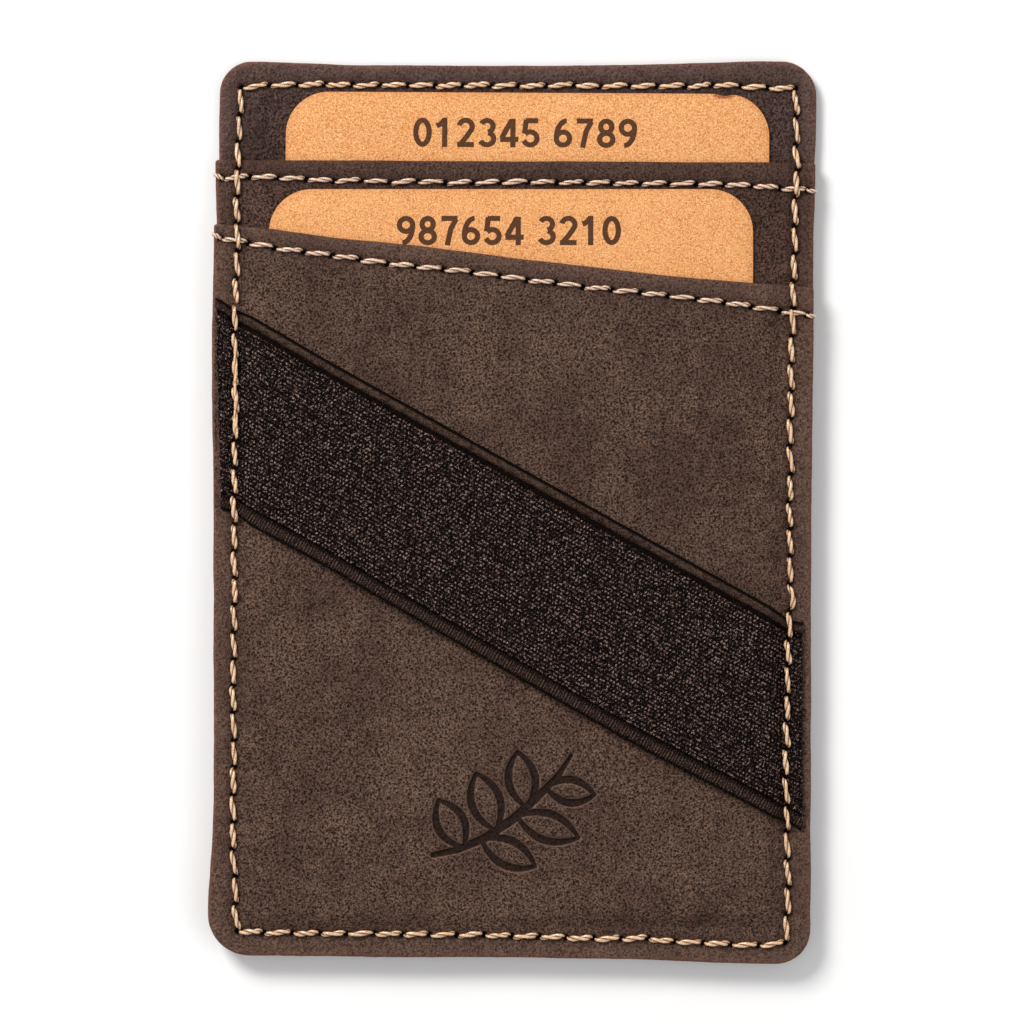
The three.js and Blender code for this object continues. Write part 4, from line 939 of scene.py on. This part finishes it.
def strap():
    """The woven elastic: two rolled selvedges, a groove inside each, and a body of small knots in ribs."""
    run, across = 540, 150
    u = np.linspace(0, 1, run)
    t = np.linspace(0, BAND_W, across)
    w = t / BAND_W
    x = BAND_X[0] + (BAND_X[1] - BAND_X[0]) * u[None, :] + 0 * w[:, None]
    # shear the columns so that they run square across the strap, but for its ends, which are cut upright
    lean = (w - 0.5)[:, None] * BAND_W * math.sin(BAND_ANGLE)
    fade = np.clip(np.minimum(u, 1 - u) / 0.16, 0, 1)[None, :]
    x = x + lean * smooth(fade)
    x = x + (0.12 + 0.55 * (1 - w[:, None])) * np.exp(-((u[None, :] / 0.012) ** 2))
    yb, yt = band_bottom_line(x), band_top_line(x)
    y = yb + (yt - yb) * w[:, None]
    # the strap is drawn in a little where the seam crosses its edges
    for cx in (-30.9, 30.8):
        pull = np.exp(-(((x - cx) / 1.3) ** 2))
        y = y - pull * 0.35 * (2 * w[:, None] - 1) ** 5
    s = x * math.cos(BAND_ANGLE) - y * math.sin(BAND_ANGLE)
    tt = t[:, None] + 0 * x
    low, high = 1.55, BAND_W - 1.45
    body = smooth((tt - low) / 0.25) * smooth((high - tt) / 0.25)
    worn = np.exp(-((np.clip(x + 30.4, 0, 9) / 0.5) ** 2)) + np.exp(-((np.clip(30.4 - x, 0, 9) / 0.5) ** 2))
    # knots: staggered from rib to rib, with a deeper furrow at every second rib
    pitch_t, pitch_s = 0.43, 0.4
    wob_s = s + 0.16 * noise2(s / 3.0, tt / 2.0, 5)
    wob_t = tt + 0.05 * noise2(s / 4.0, tt / 3.0, 6)
    rib = wob_t / pitch_t
    row = np.floor(rib)
    ft = rib - row - 0.5
    fs = wob_s / pitch_s + 0.5 * (row % 2) + 0.15 * noise2(row * 3.3, s / 6, 8)
    ks = np.floor(fs)
    fs = fs - ks - 0.5
    ri, ki = row.astype(np.int64), ks.astype(np.int64)
    vary = 0.6 + 0.5 * _hash(ri, ki, 9)
    fs = fs + 0.36 * (_hash(ri, ki, 10) - 0.5)
    ft = ft + 0.3 * (_hash(ri, ki, 11) - 0.5)
    knot = np.clip(1 - (np.abs(ft * 2.1) ** 2.0 + np.abs(fs * 2.0) ** 2.0), 0, 1) ** 0.55 * vary
    furrow = np.exp(-((((rib / 2) % 1.0) / 0.1) ** 2)) + np.exp(-(((1 - (rib / 2) % 1.0) / 0.1) ** 2))
    weave = knot - 0.18 * furrow
    # selvedges: the upper one smooth, the lower one finely ribbed across
    up_t, lo_t = (tt - high - 0.12) / 1.43, tt / 1.5
    up_roll = np.clip(1 - (2 * np.clip(up_t, 0, 1) - 1) ** 2, 0, 1) ** 0.5
    lo_roll = np.clip(1 - (2 * np.clip(lo_t, 0, 1) - 1) ** 2, 0, 1) ** 0.5
    in_up, in_lo = (tt > high + 0.1), (tt < low - 0.1)
    fine = 0.5 + 0.5 * np.sin(2 * math.pi * s / 0.42 + 2.0 * noise2(s / 2.0, tt, 12))
    height = 0.15 * body * (weave * (1 - 0.5 * worn) + 0.5 * worn * noise2(x / 0.25, y / 0.25, 41))
    height = np.where(in_up, 0.20 * up_roll - 0.06 + 0.02 * noise2(s / 0.35, tt / 0.3, 13), height)
    height = np.where(in_lo, 0.18 * lo_roll - 0.07 + 0.035 * fine, height)
    groove = np.exp(-(((tt - low + 0.03) / 0.18) ** 2)) + np.exp(-(((tt - high - 0.05) / 0.24) ** 2))
    height = height - 0.34 * groove
    under, thick = band_height(x)
    # hug the leather at the seams, crown a little across in the middle
    free = smooth((x + 30) / 4) * smooth((30 - x) / 4)
    crown = 0.12 * free * (1 - (2 * w[:, None] - 1) ** 2)
    swell = 0.05 * fractal(s / 7.0, tt / 6.0, 15, 2)
    z = under + thick + crown + swell + height - 0.1
    seam_dist = nearest(x, y, perimeter_line)
    # hole marks the needle holes through the strap, painted near black as painted shade in the elastic material
    hole = near_points(x, y, perimeter_holes, 0.34)
    z = z - 0.14 * np.exp(-((seam_dist / 0.7) ** 2)) - 0.3 * hole
    # edges roll down to the underside
    d_edge = np.minimum(tt, BAND_W - tt)
    z = z - rounded(d_edge, 0.4) * 1.1
    ends = np.minimum(x - BAND_X[0], BAND_X[1] - x)
    z = z - rounded(np.clip(ends, 0, 9), 0.25)
    # ragged cut ends
    ragged = 0.16 * noise2(tt / 0.28, 3.0, 21) + 0.1 * noise2(tt / 0.9, 5.0, 22)
    x = x + ragged * np.exp(-((x - BAND_X[0]) / 0.5) ** 2) - np.abs(ragged) * np.exp(-(((x - BAND_X[1]) / 0.5) ** 2))
    # painted light and shade, carried by the weave attribute: each knot top and the crown of each rolled selvedge is
    # painted lighter, the gaps between knots darker, the grooves inside the selvedges get painted shade, and both long
    # edges a painted shadow line; the darkening and specks at the worn ends are wear
    shade = np.where(in_up, 0.32 + 0.4 * up_roll + 0.22 * noise2(s / 0.4, tt / 0.22, 14), np.where(in_lo, 0.12 + 0.35 * lo_roll * fine, np.clip(knot, 0, 1)))
    shade = shade * (1 - 0.95 * np.clip(groove, 0, 1))
    shade = shade * smooth((np.minimum(tt, BAND_W - tt) - 0.2) / 0.24) * (1 - 0.2 * np.clip(worn, 0, 1)) + 0.3 * body * np.clip(worn, 0, 1) * np.clip(noise2(x / 0.3, y / 0.3, 43), 0, 1)
    in_up, in_lo = tt > high - 0.1, tt < low + 0.1
    top = np.stack([x, y, z], -1).reshape(-1, 3)
    nr, nc = x.shape
    loop = border(nr, nc)
    zu = np.minimum(under + 0.02, z - 0.25)
    # underside: every fifth row and column would leave cracks, so it shares the loop and fans over a coarse lattice
    lx, ly, lzu = x.reshape(-1)[loop], y.reshape(-1)[loop], zu.reshape(-1)[loop]
    mid = np.stack([lx, ly, (top[loop, 2] + lzu) / 2], -1)
    low_ring = np.stack([lx, ly, lzu], -1)
    rows_in, cols_in = np.arange(12, nr - 6, 16), np.arange(12, nc - 6, 14)
    gx, gy, gz = (a[np.ix_(rows_in, cols_in)].reshape(-1) for a in (x, y, zu))
    n = len(loop)
    verts = [top, mid, low_ring, np.stack([gx, gy, gz], -1)]
    i_mid = len(top) + np.arange(n)
    i_low = i_mid + n
    ids = np.concatenate([i_low, len(top) + 2 * n + np.arange(len(gx))])
    points = [Vector((a, b)) for a, b in zip(np.concatenate([lx, gx]), np.concatenate([ly, gy]))]
    _v, _e, tris, orig, _oe, _of = delaunay_2d_cdt(points, [(i, (i + 1) % n) for i in range(n)], [], 1, 1e-7)
    first = [o[0] if o else -1 for o in orig]
    out = np.array([[ids[first[a]], ids[first[c]], ids[first[b]]] for a, b, c in tris if min(first[a], first[b], first[c]) >= 0])
    faces = [grid_faces(nr, nc), wall_faces(loop, i_mid), wall_faces(i_mid, i_low), out]
    extra = 2 * n + len(gx)
    attributes = {
        # weave carries the painted light and shade worked out above
        "weave": np.concatenate([shade.reshape(-1), np.full(extra, 0.0)]),
        "upper_selvedge": np.concatenate([in_up.reshape(-1) * 1.0, np.zeros(extra)]),
        "lower_selvedge": np.concatenate([in_lo.reshape(-1) * 1.0, np.zeros(extra)]),
        "hole": np.concatenate([hole.reshape(-1), np.zeros(extra)]),
    }
    # loose fibres at both cut ends
    rng = np.random.default_rng(31)
    count = len(top) + extra
    fv, fq, ft_ = [], [], []
    for side, cx in ((-1, BAND_X[0]), (1, BAND_X[1])):
        for _ in range(70):
            wt = rng.random()
            px = cx - side * 0.1
            py = float(band_bottom_line(cx)) + wt * float(band_top_line(cx) - band_bottom_line(cx))
            pz = 3.42 + 0.08 + 0.34 * rng.random()
            reach = (0.16 if side < 0 else 0.4) * (0.4 + rng.random())
            bend = rng.normal(0, 0.35)
            steps = np.linspace(0, 1, 6)
            path = np.stack([px + side * reach * steps, py + bend * steps**2 + 0.15 * rng.normal() * steps, pz - 0.12 * steps - 0.1 * rng.random() * steps**2], -1)
            r = 0.035 + 0.02 * rng.random()
            _t, sd, upv = cross_frames(path)
            ring = 2 * math.pi * np.arange(5) / 5
            pts = path[:, None, :] + r * (1 - 0.5 * steps)[:, None, None] * (np.cos(ring)[None, :, None] * sd[:, None, :] + np.sin(ring)[None, :, None] * upv[:, None, :])
            base = count + np.arange(5)[:, None] * 5 + np.arange(5)[None, :]
            nxt = count + np.arange(5)[:, None] * 5 + (np.arange(5)[None, :] + 1) % 5
            fq.append(np.stack([base, nxt, nxt + 5, base + 5], -1).reshape(-1, 4))
            for i in range(1, 4):
                ft_.append([count, count + i + 1, count + i])
                ft_.append([count + 25, count + 25 + i, count + 25 + i + 1])
            fv.append(pts.reshape(-1, 3))
            count += 30
    # and short curls pulled up outside the seam
    at_ends = top[np.abs(top[:, 0]) > 30.4]

    def lie(points):
        gap = (at_ends[None, :, 0] - points[:, None, 0]) ** 2 + (at_ends[None, :, 1] - points[:, None, 1]) ** 2
        return at_ends[gap.argmin(1), 2]

    for side, n_curls in ((-1, 120), (1, 50)):
        for _ in range(n_curls):
            px = rng.uniform(-32.5, -31.2) if side < 0 else rng.uniform(31.1, 32.0)
            py = float(band_bottom_line(px)) + rng.uniform(0.05, 0.95) * float(band_top_line(px) - band_bottom_line(px))
            a0, turn, reach = rng.uniform(0, 6.28), rng.normal(0, 2.2), rng.uniform(0.25, 0.6)
            steps = np.linspace(0, 1, 7)
            ang = a0 + turn * steps
            path = np.stack([px + np.cumsum(np.cos(ang)) * reach / 6, py + np.cumsum(np.sin(ang)) * reach / 6, 0 * ang], -1)
            path[:, 0] += max(0.0, -32.45 - path[:, 0].min()) - max(0.0, path[:, 0].max() - 31.9)
            path[:, 2] = lie(path).mean() + 0.5 * (lie(path) - lie(path).mean()) + 0.035 * np.sin(math.pi * steps)
            t = np.gradient(path, axis=0)
            t /= np.linalg.norm(t, axis=1)[:, None] + 1e-9
            sd = np.stack([-t[:, 1], t[:, 0], 0 * t[:, 0]], 1)
            sd /= np.linalg.norm(sd, axis=1)[:, None] + 1e-9
            upv = np.cross(t, sd)
            ring = 2 * math.pi * np.arange(5) / 5
            r = 0.035 + 0.015 * rng.random()
            pts = path[:, None, :] + r * (np.cos(ring)[None, :, None] * sd[:, None, :] + np.sin(ring)[None, :, None] * upv[:, None, :])
            base = count + np.arange(6)[:, None] * 5 + np.arange(5)[None, :]
            nxt = count + np.arange(6)[:, None] * 5 + (np.arange(5)[None, :] + 1) % 5
            fq.append(np.stack([base, nxt, nxt + 5, base + 5], -1).reshape(-1, 4))
            for i in range(1, 4):
                ft_.append([count, count + i + 1, count + i])
                ft_.append([count + 30, count + 30 + i, count + 30 + i + 1])
            fv.append(pts.reshape(-1, 3))
            count += 35
    verts += fv
    faces += [np.concatenate(fq), np.array(ft_)]
    m = sum(len(v) for v in fv)
    attributes = {k: np.concatenate([v, np.full(m, 0.62 if k == "weave" else 0.0)]) for k, v in attributes.items()}
    return make_object("elastic_strap", np.concatenate(verts), faces, attributes, (elastic_mat,))


def elastic_material():
    n = Nodes("elastic_weave")
    # weave brings the strap's painted highlight and painted shade, and lit and the selvedge ramps turn it into colour
    weave = n.attribute("weave")
    along_run = n.stretched(1.0, 1.0, 1.0, BAND_ANGLE)
    fibre = n.noise(8.2, 1.5, 0.7, n.stretched(1.1, 0.9, 1.0, 0.0, along_run))
    slow = n.noise(0.5, 2.0, 0.5)
    lit = n.math("ADD", n.math("MULTIPLY", n.math("POWER", weave, 1.1), 0.66), n.math("MULTIPLY", n.math("SUBTRACT", fibre, 0.475), 2.2))
    lit = n.math("ADD", lit, n.math("MULTIPLY", n.math("SUBTRACT", slow, 0.5), 0.06))
    color = n.ramp(lit, (0.27, rgb(5, 3, 3)), (0.45, rgb(29, 20, 18)), (0.63, rgb(84, 65, 60)), (0.83, rgb(164, 139, 129)))
    ribs = n.wave(0.32 * 3.0, 1.2, 1.0, along_run)
    band = n.math("ADD", n.math("MULTIPLY", weave, 1.0), n.math("MULTIPLY", n.math("SUBTRACT", fibre, 0.48), 2.4))
    upper = n.ramp(band, (0.14, rgb(6, 4, 3)), (0.5, rgb(34, 23, 19)), (0.8, rgb(62, 46, 38)), (1.0, rgb(86, 66, 55)))
    lower = n.ramp(n.math("MULTIPLY", band, n.math("ADD", 0.5, n.math("MULTIPLY", ribs, 0.8))), (0.1, rgb(8, 5, 4)), (0.4, rgb(54, 40, 34)), (0.9, rgb(112, 88, 76)))
    color = n.mix(n.attribute("upper_selvedge"), color, upper)
    color = n.mix(n.attribute("lower_selvedge"), color, lower)
    # painted shade: near black in the needle holes
    color = n.mix(n.ramp(n.attribute("hole"), (0.3, 0.0), (0.62, 1.0)), color, (0.0015, 0.001, 0.001))
    normal = n.bump(n.math("ADD", fibre, n.math("MULTIPLY", n.math("MULTIPLY", ribs, n.attribute("lower_selvedge")), 0.6)), 0.8, 0.1)
    return n.set(color=color, rough=0.66, normal=normal, specular=0.04)


elastic_mat = elastic_material()
band = strap()

# ----------------------------------------------------------------- card inserts


def card_material():
    n = Nodes("kraft_card")
    pulp = n.noise(3.6, 3.0, 0.75)
    fleck = n.cells(1.6, vector=n.stretched(1.0, 2.4, 1.0, 0.4))
    cloud = n.noise(0.12, 3.0, 0.6)
    fine = n.noise(6.2, 2.0, 0.7)
    color = n.mix(n.ramp(cloud, (0.35, 0.0), (0.65, 1.0)), rgb(222, 148, 83), rgb(231, 159, 94))
    color = n.mix(n.math("MULTIPLY", n.ramp(pulp, (0.38, 1.0), (0.54, 0.0)), 0.9), color, rgb(184, 106, 50))
    color = n.mix(n.math("MULTIPLY", n.ramp(fleck, (0.06, 1.0), (0.16, 0.0)), 0.4), color, rgb(192, 118, 60))
    color = n.mix(n.math("MULTIPLY", n.ramp(fine, (0.46, 0.0), (0.62, 1.0)), 0.9), color, rgb(250, 198, 144))
    color = n.mix(n.ramp(n.attribute("edge"), (0.4, 0.0), (1.0, 0.7)), color, rgb(176, 108, 60))
    # a bruise at the nick in the upper insert's top edge
    away = n.tree.nodes.new("ShaderNodeVectorMath")
    away.operation = "SUBTRACT"
    away.inputs[1].default_value = (23.7, 46.45, 1.9)
    n.link(n.mm, away.inputs[0])
    flat = n.tree.nodes.new("ShaderNodeVectorMath")
    flat.operation = "MULTIPLY"
    flat.inputs[1].default_value = (0.6, 2.2, 0.3)
    n.link(away.outputs[0], flat.inputs[0])
    far = n.tree.nodes.new("ShaderNodeVectorMath")
    far.operation = "LENGTH"
    n.link(flat.outputs[0], far.inputs[0])
    ragged = n.math("ADD", far.outputs["Value"], n.math("MULTIPLY", n.math("SUBTRACT", pulp, 0.5), 1.6))
    color = n.mix(n.ramp(ragged, (0.4, 0.8), (0.95, 0.0)), color, rgb(128, 68, 38))
    normal = n.bump(n.math("ADD", pulp, fine), 0.22, 0.05)
    return n.set(color=color, rough=0.74, normal=normal, specular=0.15)


card_mat = card_material()


def corner_loop(w, h, r, n):
    out = []
    for cx, cy, a0 in ((w / 2 - r, h / 2 - r, 0), (-w / 2 + r, h / 2 - r, 90), (-w / 2 + r, -h / 2 + r, 180), (w / 2 - r, -h / 2 + r, 270)):
        for i in range(n + 1):
            a = math.radians(a0 + 90 * i / n)
            out.append((cx + r * math.cos(a), cy + r * math.sin(a)))
    return np.array(out)


def resample(loop, step):
    p = np.concatenate([loop, loop[:1]])
    s = np.concatenate([[0], np.cumsum(np.hypot(*np.diff(p, axis=0).T))])
    t = np.linspace(0, s[-1], int(s[-1] / step), endpoint=False)
    return np.stack([np.interp(t, s, p[:, 0]), np.interp(t, s, p[:, 1])], 1)


def inset(loop, d):
    t = np.roll(loop, -1, 0) - np.roll(loop, 1, 0)
    t /= np.hypot(*t.T)[:, None]
    return loop + d * np.stack([-t[:, 1], t[:, 0]], 1)


def plate(name, loop, z0, z1, r, materials, place=lambda p: p, swell=0.0, seed=1, lattice=2.5):
    """A thin sheet of a closed outline, counterclockwise, its edges rounded by r, and its faces a lattice."""
    n = len(loop)
    rings = [(0.0, z1 - r), (r * 0.3, z1 - r * 0.25), (r, z1)]
    lo, hi = loop.min(0), loop.max(0)
    gx, gy = np.meshgrid(np.arange(lo[0] + 1.3, hi[0] - 0.8, lattice), np.arange(lo[1] + 1.3, hi[1] - 0.8, lattice))
    gx, gy = gx.reshape(-1), gy.reshape(-1)
    w, h = hi - lo
    c = (lo + hi) / 2
    rr = 5.5
    qx, qy = np.abs(gx - c[0]) - (w / 2 - rr), np.abs(gy - c[1]) - (h / 2 - rr)
    keep = ~((qx > 0) & (qy > 0) & (np.hypot(np.maximum(qx, 0), np.maximum(qy, 0)) > rr - 1.4))
    gx, gy = gx[keep], gy[keep]
    verts, edge = [], []
    layers = []
    for up in (True, False):
        for d, z in rings if up else [(rings[2][0], z0), (rings[1][0], z0 + r * 0.25), (0.0, z0 + r)][::1]:
            p = inset(loop, d)
            verts.append(np.column_stack([p, np.full(n, z)]))
            edge.append(np.full(n, 1.0 if d < r else 0.6))
    a, b, c1, d1, e, f = (np.arange(n) + i * n for i in range(6))
    # order down the side: top flat rim c1, b, a, then f, e, d1 the bottom flat rim
    faces = [wall_faces(c1, b), wall_faces(b, a), wall_faces(a, f), wall_faces(f, e), wall_faces(e, d1)]
    count = 6 * n
    for up, rim in ((True, c1), (False, d1)):
        z = z1 if up else z0
        bumpz = swell * fractal(gx / 8, gy / 8, seed, 2) if up else 0.0
        verts.append(np.column_stack([gx, gy, np.full(len(gx), z) + bumpz]))
        edge.append(np.zeros(len(gx)))
        ids = np.concatenate([rim, count + np.arange(len(gx))])
        count += len(gx)
        ring = inset(loop, r)
        pts = [Vector((p, q)) for p, q in zip(np.concatenate([ring[:, 0], gx]), np.concatenate([ring[:, 1], gy]))]
        _v, _e, tris, orig, _oe, _of = delaunay_2d_cdt(pts, [(i, (i + 1) % n) for i in range(n)], [], 1, 1e-7)
        first = [o[0] if o else -1 for o in orig]
        t = np.array([[ids[first[i]], ids[first[j]], ids[first[k]]] for i, j, k in tris if min(first[i], first[j], first[k]) >= 0])
        faces.append(t if up else t[:, ::-1])
    verts = place(np.concatenate(verts))
    return make_object(name, verts, faces, {"edge": np.concatenate(edge)}, materials)


def turn_and_move(degrees, x, y):
    a = math.radians(degrees)

    def place(p):
        q = p.copy()
        q[:, 0] = p[:, 0] * math.cos(a) - p[:, 1] * math.sin(a) + x
        q[:, 1] = p[:, 0] * math.sin(a) + p[:, 1] * math.cos(a) + y
        return q

    return place


card_loop = resample(corner_loop(54.0, 81.5, 4.8, 16), 0.5)
nick = card_loop.copy()
near = np.hypot(nick[:, 0] - 22.0, nick[:, 1] - 40.75)
nick[:, 1] -= 0.24 * np.exp(-((near / 0.75) ** 2))
upper_card = plate("upper_card", nick, Z_SEAT + 0.01, Z_SEAT + 0.4, 0.06, (card_mat,), turn_and_move(-0.31, 1.54, 46.8 - 40.75))
lower_card = plate("lower_card", card_loop, 2.82, 3.2, 0.06, (card_mat,), turn_and_move(0.0, -0.11, 36.0 - 40.75))


def arc(cx, cy, rx, ry, a0, a1, n=14):
    a = np.radians(np.linspace(a0, a1, n))
    return [(cx + rx * math.cos(v), cy + ry * math.sin(v)) for v in a]


# Upright digits in a box 0.62 wide and 1 high, by the middle line of each stroke.
DIGITS = {
    "0": [arc(0.31, 0.5, 0.22, 0.41, 0, 360, 33)],
    "1": [[(0.06, 0.72), (0.2, 0.78), (0.3, 0.91)], [(0.33, 1.0), (0.33, 0.0)]],
    "2": [arc(0.31, 0.7, 0.215, 0.215, 170, -35) + [(0.34, 0.36), (0.12, 0.09)], [(0.03, 0.09), (0.58, 0.09)]],
    "3": [arc(0.3, 0.715, 0.2, 0.195, 155, -80), arc(0.3, 0.29, 0.225, 0.205, 80, -160)],
    "4": [[(0.44, 0.0), (0.44, 0.97)], [(0.4, 0.93), (0.07, 0.32)], [(0.02, 0.27), (0.62, 0.27)]],
    "5": [[(0.56, 0.91), (0.15, 0.91)], [(0.17, 0.95), (0.11, 0.47)], arc(0.3, 0.31, 0.225, 0.225, 140, -160)],
    "6": [arc(0.31, 0.31, 0.22, 0.22, 0, 360, 27), arc(0.42, 0.31, 0.33, 0.6, 180, 88)],
    "7": [[(0.05, 0.91), (0.58, 0.91)], [(0.53, 0.88), (0.36, 0.56), (0.24, 0.0)]],
    "8": [arc(0.31, 0.715, 0.185, 0.195, 0, 360, 25), arc(0.31, 0.29, 0.22, 0.205, 0, 360, 27)],
    "9": [arc(0.31, 0.69, 0.22, 0.22, 0, 360, 27), arc(0.2, 0.69, 0.33, 0.6, 0, -92)],
}


def printed_number(name, text, width, height, centre, z, turn):
    """Plain digits printed on a card, as a thin film of ink."""
    pen, advance = 0.175, 0.715
    points, polygons, at = [], [], 0.0
    for ch in text:
        if ch == " ":
            at += advance * 0.5
            continue
        for line in DIGITS[ch]:
            p = np.array(line)
            closed = np.hypot(*(p[0] - p[-1])) < 1e-6
            t = np.gradient(p, axis=0)
            if closed:
                t[0] = t[-1] = p[1] - p[-2]
            t /= np.hypot(*t.T)[:, None]
            side = np.stack([-t[:, 1], t[:, 0]], 1) * pen / 2
            for k in range(len(p) - 1):
                base = len(points)
                for q in (p[k] + side[k], p[k] - side[k], p[k + 1] - side[k + 1], p[k + 1] + side[k + 1]):
                    points.append((q[0] + at, q[1]))
                polygons.append([base, base + 1, base + 2, base + 3])
        at += advance
    points = np.array(points)
    lo, hi = points.min(0), points.max(0)
    points = (points - (lo + hi) / 2) / (hi - lo) * (width, height)
    flat, _e, tris, _ov, _oe, covered = delaunay_2d_cdt([Vector(v) for v in points], [], polygons, 1, 1e-5)
    v = np.array([tuple(a) for a in flat])
    a = math.radians(turn)
    v = np.stack([v[:, 0] * math.cos(a) - v[:, 1] * math.sin(a) + centre[0], v[:, 0] * math.sin(a) + v[:, 1] * math.cos(a) + centre[1]], 1)
    f = np.array([t for t, c in zip(tris, covered) if c])
    n = len(v)
    seen = {}
    for tri in f:
        for i in range(3):
            seen[(tri[i], tri[(i + 1) % 3])] = 1
    rim = np.array([(b, c) for b, c in seen if (c, b) not in seen])
    walls = np.stack([rim[:, 1], rim[:, 0], rim[:, 0] + n, rim[:, 1] + n], 1)
    verts = np.concatenate([np.column_stack([v, np.full(n, z + 0.012)]), np.column_stack([v, np.full(n, z - 0.01)])])
    return make_object(name, verts, [f, f[:, ::-1] + n, walls], materials=(ink_mat,), smooth_shade=False)


def ink_material():
    n = Nodes("card_ink")
    wear = n.noise(5.0, 3.0, 0.65)
    color = n.mix(n.ramp(wear, (0.45, 0.0), (0.8, 0.6)), rgb(76, 44, 22), rgb(124, 78, 44))
    return n.set(color=color, rough=0.7, normal=n.bump(wear, 0.2, 0.02), specular=0.25)


ink_mat = ink_material()
upper_print = printed_number("upper_card_print", "012345 6789", 25.0, 3.35, (1.47, 42.3), Z_SEAT + 0.4, -0.31)
lower_print = printed_number("lower_card_print", "987654 3210", 25.0, 3.35, (-0.35, 31.35), 3.2, 0.0)

# -------------------------------------------------------------------- adhesive


def adhesive_material():
    n = Nodes("adhesive_film")
    dimple = n.cells(1.25, vector=n.stretched(1.0, 1.0, 1.0, 0.785), randomness=0.0)
    smear = n.noise(0.22, 3.0, 0.6, distortion=0.6)
    dust = n.noise(5.0, 3.0, 0.7)
    color = n.mix(n.ramp(smear, (0.35, 0.0), (0.7, 1.0)), rgb(34, 34, 36), rgb(42, 41, 43))
    color = n.mix(n.ramp(dust, (0.62, 0.0), (0.78, 0.35)), color, rgb(96, 92, 88))
    normal = n.bump(n.math("ADD", n.ramp(dimple, (0.1, 0.0), (0.5, 1.0)), n.math("MULTIPLY", dust, 0.4)), 0.2, 0.06)
    return n.set(color=color, rough=n.ramp(smear, (0.3, 0.42), (0.7, 0.48)), normal=normal, specular=0.5)


adhesive_mat = adhesive_material()
sheet_loop = resample(corner_loop(58.4, 92.0, 4.0, 14), 0.7)
adhesive = plate("adhesive_film_sheet", sheet_loop, 0.0, 0.4, 0.08, (adhesive_mat,), turn_and_move(0.0, 0.0, 0.3))

# ---------------------------------------------------------- what stands for what

for piece, nodes, slot in (
    (front_panel, ("front_pocket_panel",), "pocket_leather"),
    (rear_panel, ("rear_pocket_panel",), "pocket_leather"),
    (back_panel, ("back_panel",), "back_leather"),
    (band, ("elastic_band",), "elastic"),
    (upper_card, ("upper_card_insert",), "card"),
    (lower_card, ("lower_card_insert",), "card"),
    (upper_print, (), "card"),
    (lower_print, (), "card"),
    (adhesive, ("adhesive_sheet",), "adhesive"),
    (perimeter_obj, ("perimeter_needle_thread",), "thread"),
    (under_obj, ("perimeter_bobbin_thread",), "thread"),
    (rear_hem_obj, ("rear_hem_needle_thread",), "thread"),
    (front_hem_obj, ("front_hem_needle_thread",), "thread"),
):
    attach(piece, "root")
    if nodes:
        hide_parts(*nodes)

# the hidden threads keep their solids, with the thread's own finish
for name in ("rear_hem_bobbin_thread", "front_hem_bobbin_thread", "pocket_floor_needle_thread", "pocket_floor_bobbin_thread"):
    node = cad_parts[name]
    for s in node.material_slots:
        s.material = hidden_mat

# ----------------------------------------------------------------- the studio


def floor_material():
    n = Nodes("studio_floor")
    soft = n.noise(0.02, 2.0, 0.5)
    return n.set(color=n.ramp(soft, (0.3, 0.965), (0.7, 0.985)), rough=0.9, specular=0.05)


floor = make_object("studio_floor", [[-900, -900, -0.03], [900, -900, -0.03], [900, 900, -0.03], [-900, 900, -0.03]], [np.array([[0, 1, 2, 3]])], materials=(floor_material(),))

world = bpy.data.worlds.new("studio")
bpy.context.scene.world = world
world.use_nodes = True
world.node_tree.nodes["Background"].inputs[0].default_value = (1.0, 1.0, 1.0, 1)
world.node_tree.nodes["Background"].inputs[1].default_value = 0.46


def area(name, at, aim, size, power, color=(1, 1, 1)):
    light = bpy.data.lights.new(name, "AREA")
    light.shape = "RECTANGLE"
    light.size, light.size_y = size
    light.energy = power
    light.color = color
    o = bpy.data.objects.new(name, light)
    o.location = at
    o.rotation_euler = (Vector(aim) - Vector(at)).to_track_quat("-Z", "Y").to_euler()
    bpy.context.scene.collection.objects.link(o)


area("key", (-0.42, 0.5, 0.62), (0, 0, 0), (0.32, 0.32), 6.6, (1.0, 0.985, 0.965))
area("fill", (0.6, -0.25, 0.7), (0, 0, 0), (0.6, 0.6), 1.6, (0.97, 0.98, 1.0))

camera = bpy.data.cameras.new("camera")
camera.sensor_width = 36
camera.lens = 36 * 1000 / 114.5
camera.clip_start = 0.05
eye = bpy.data.objects.new("camera", camera)
eye.location = (0, 0, 1.0)
eye.rotation_euler = (0, 0, 0)
bpy.context.scene.collection.objects.link(eye)
bpy.context.scene.camera = eye
bpy.context.scene.view_settings.view_transform = "Standard"
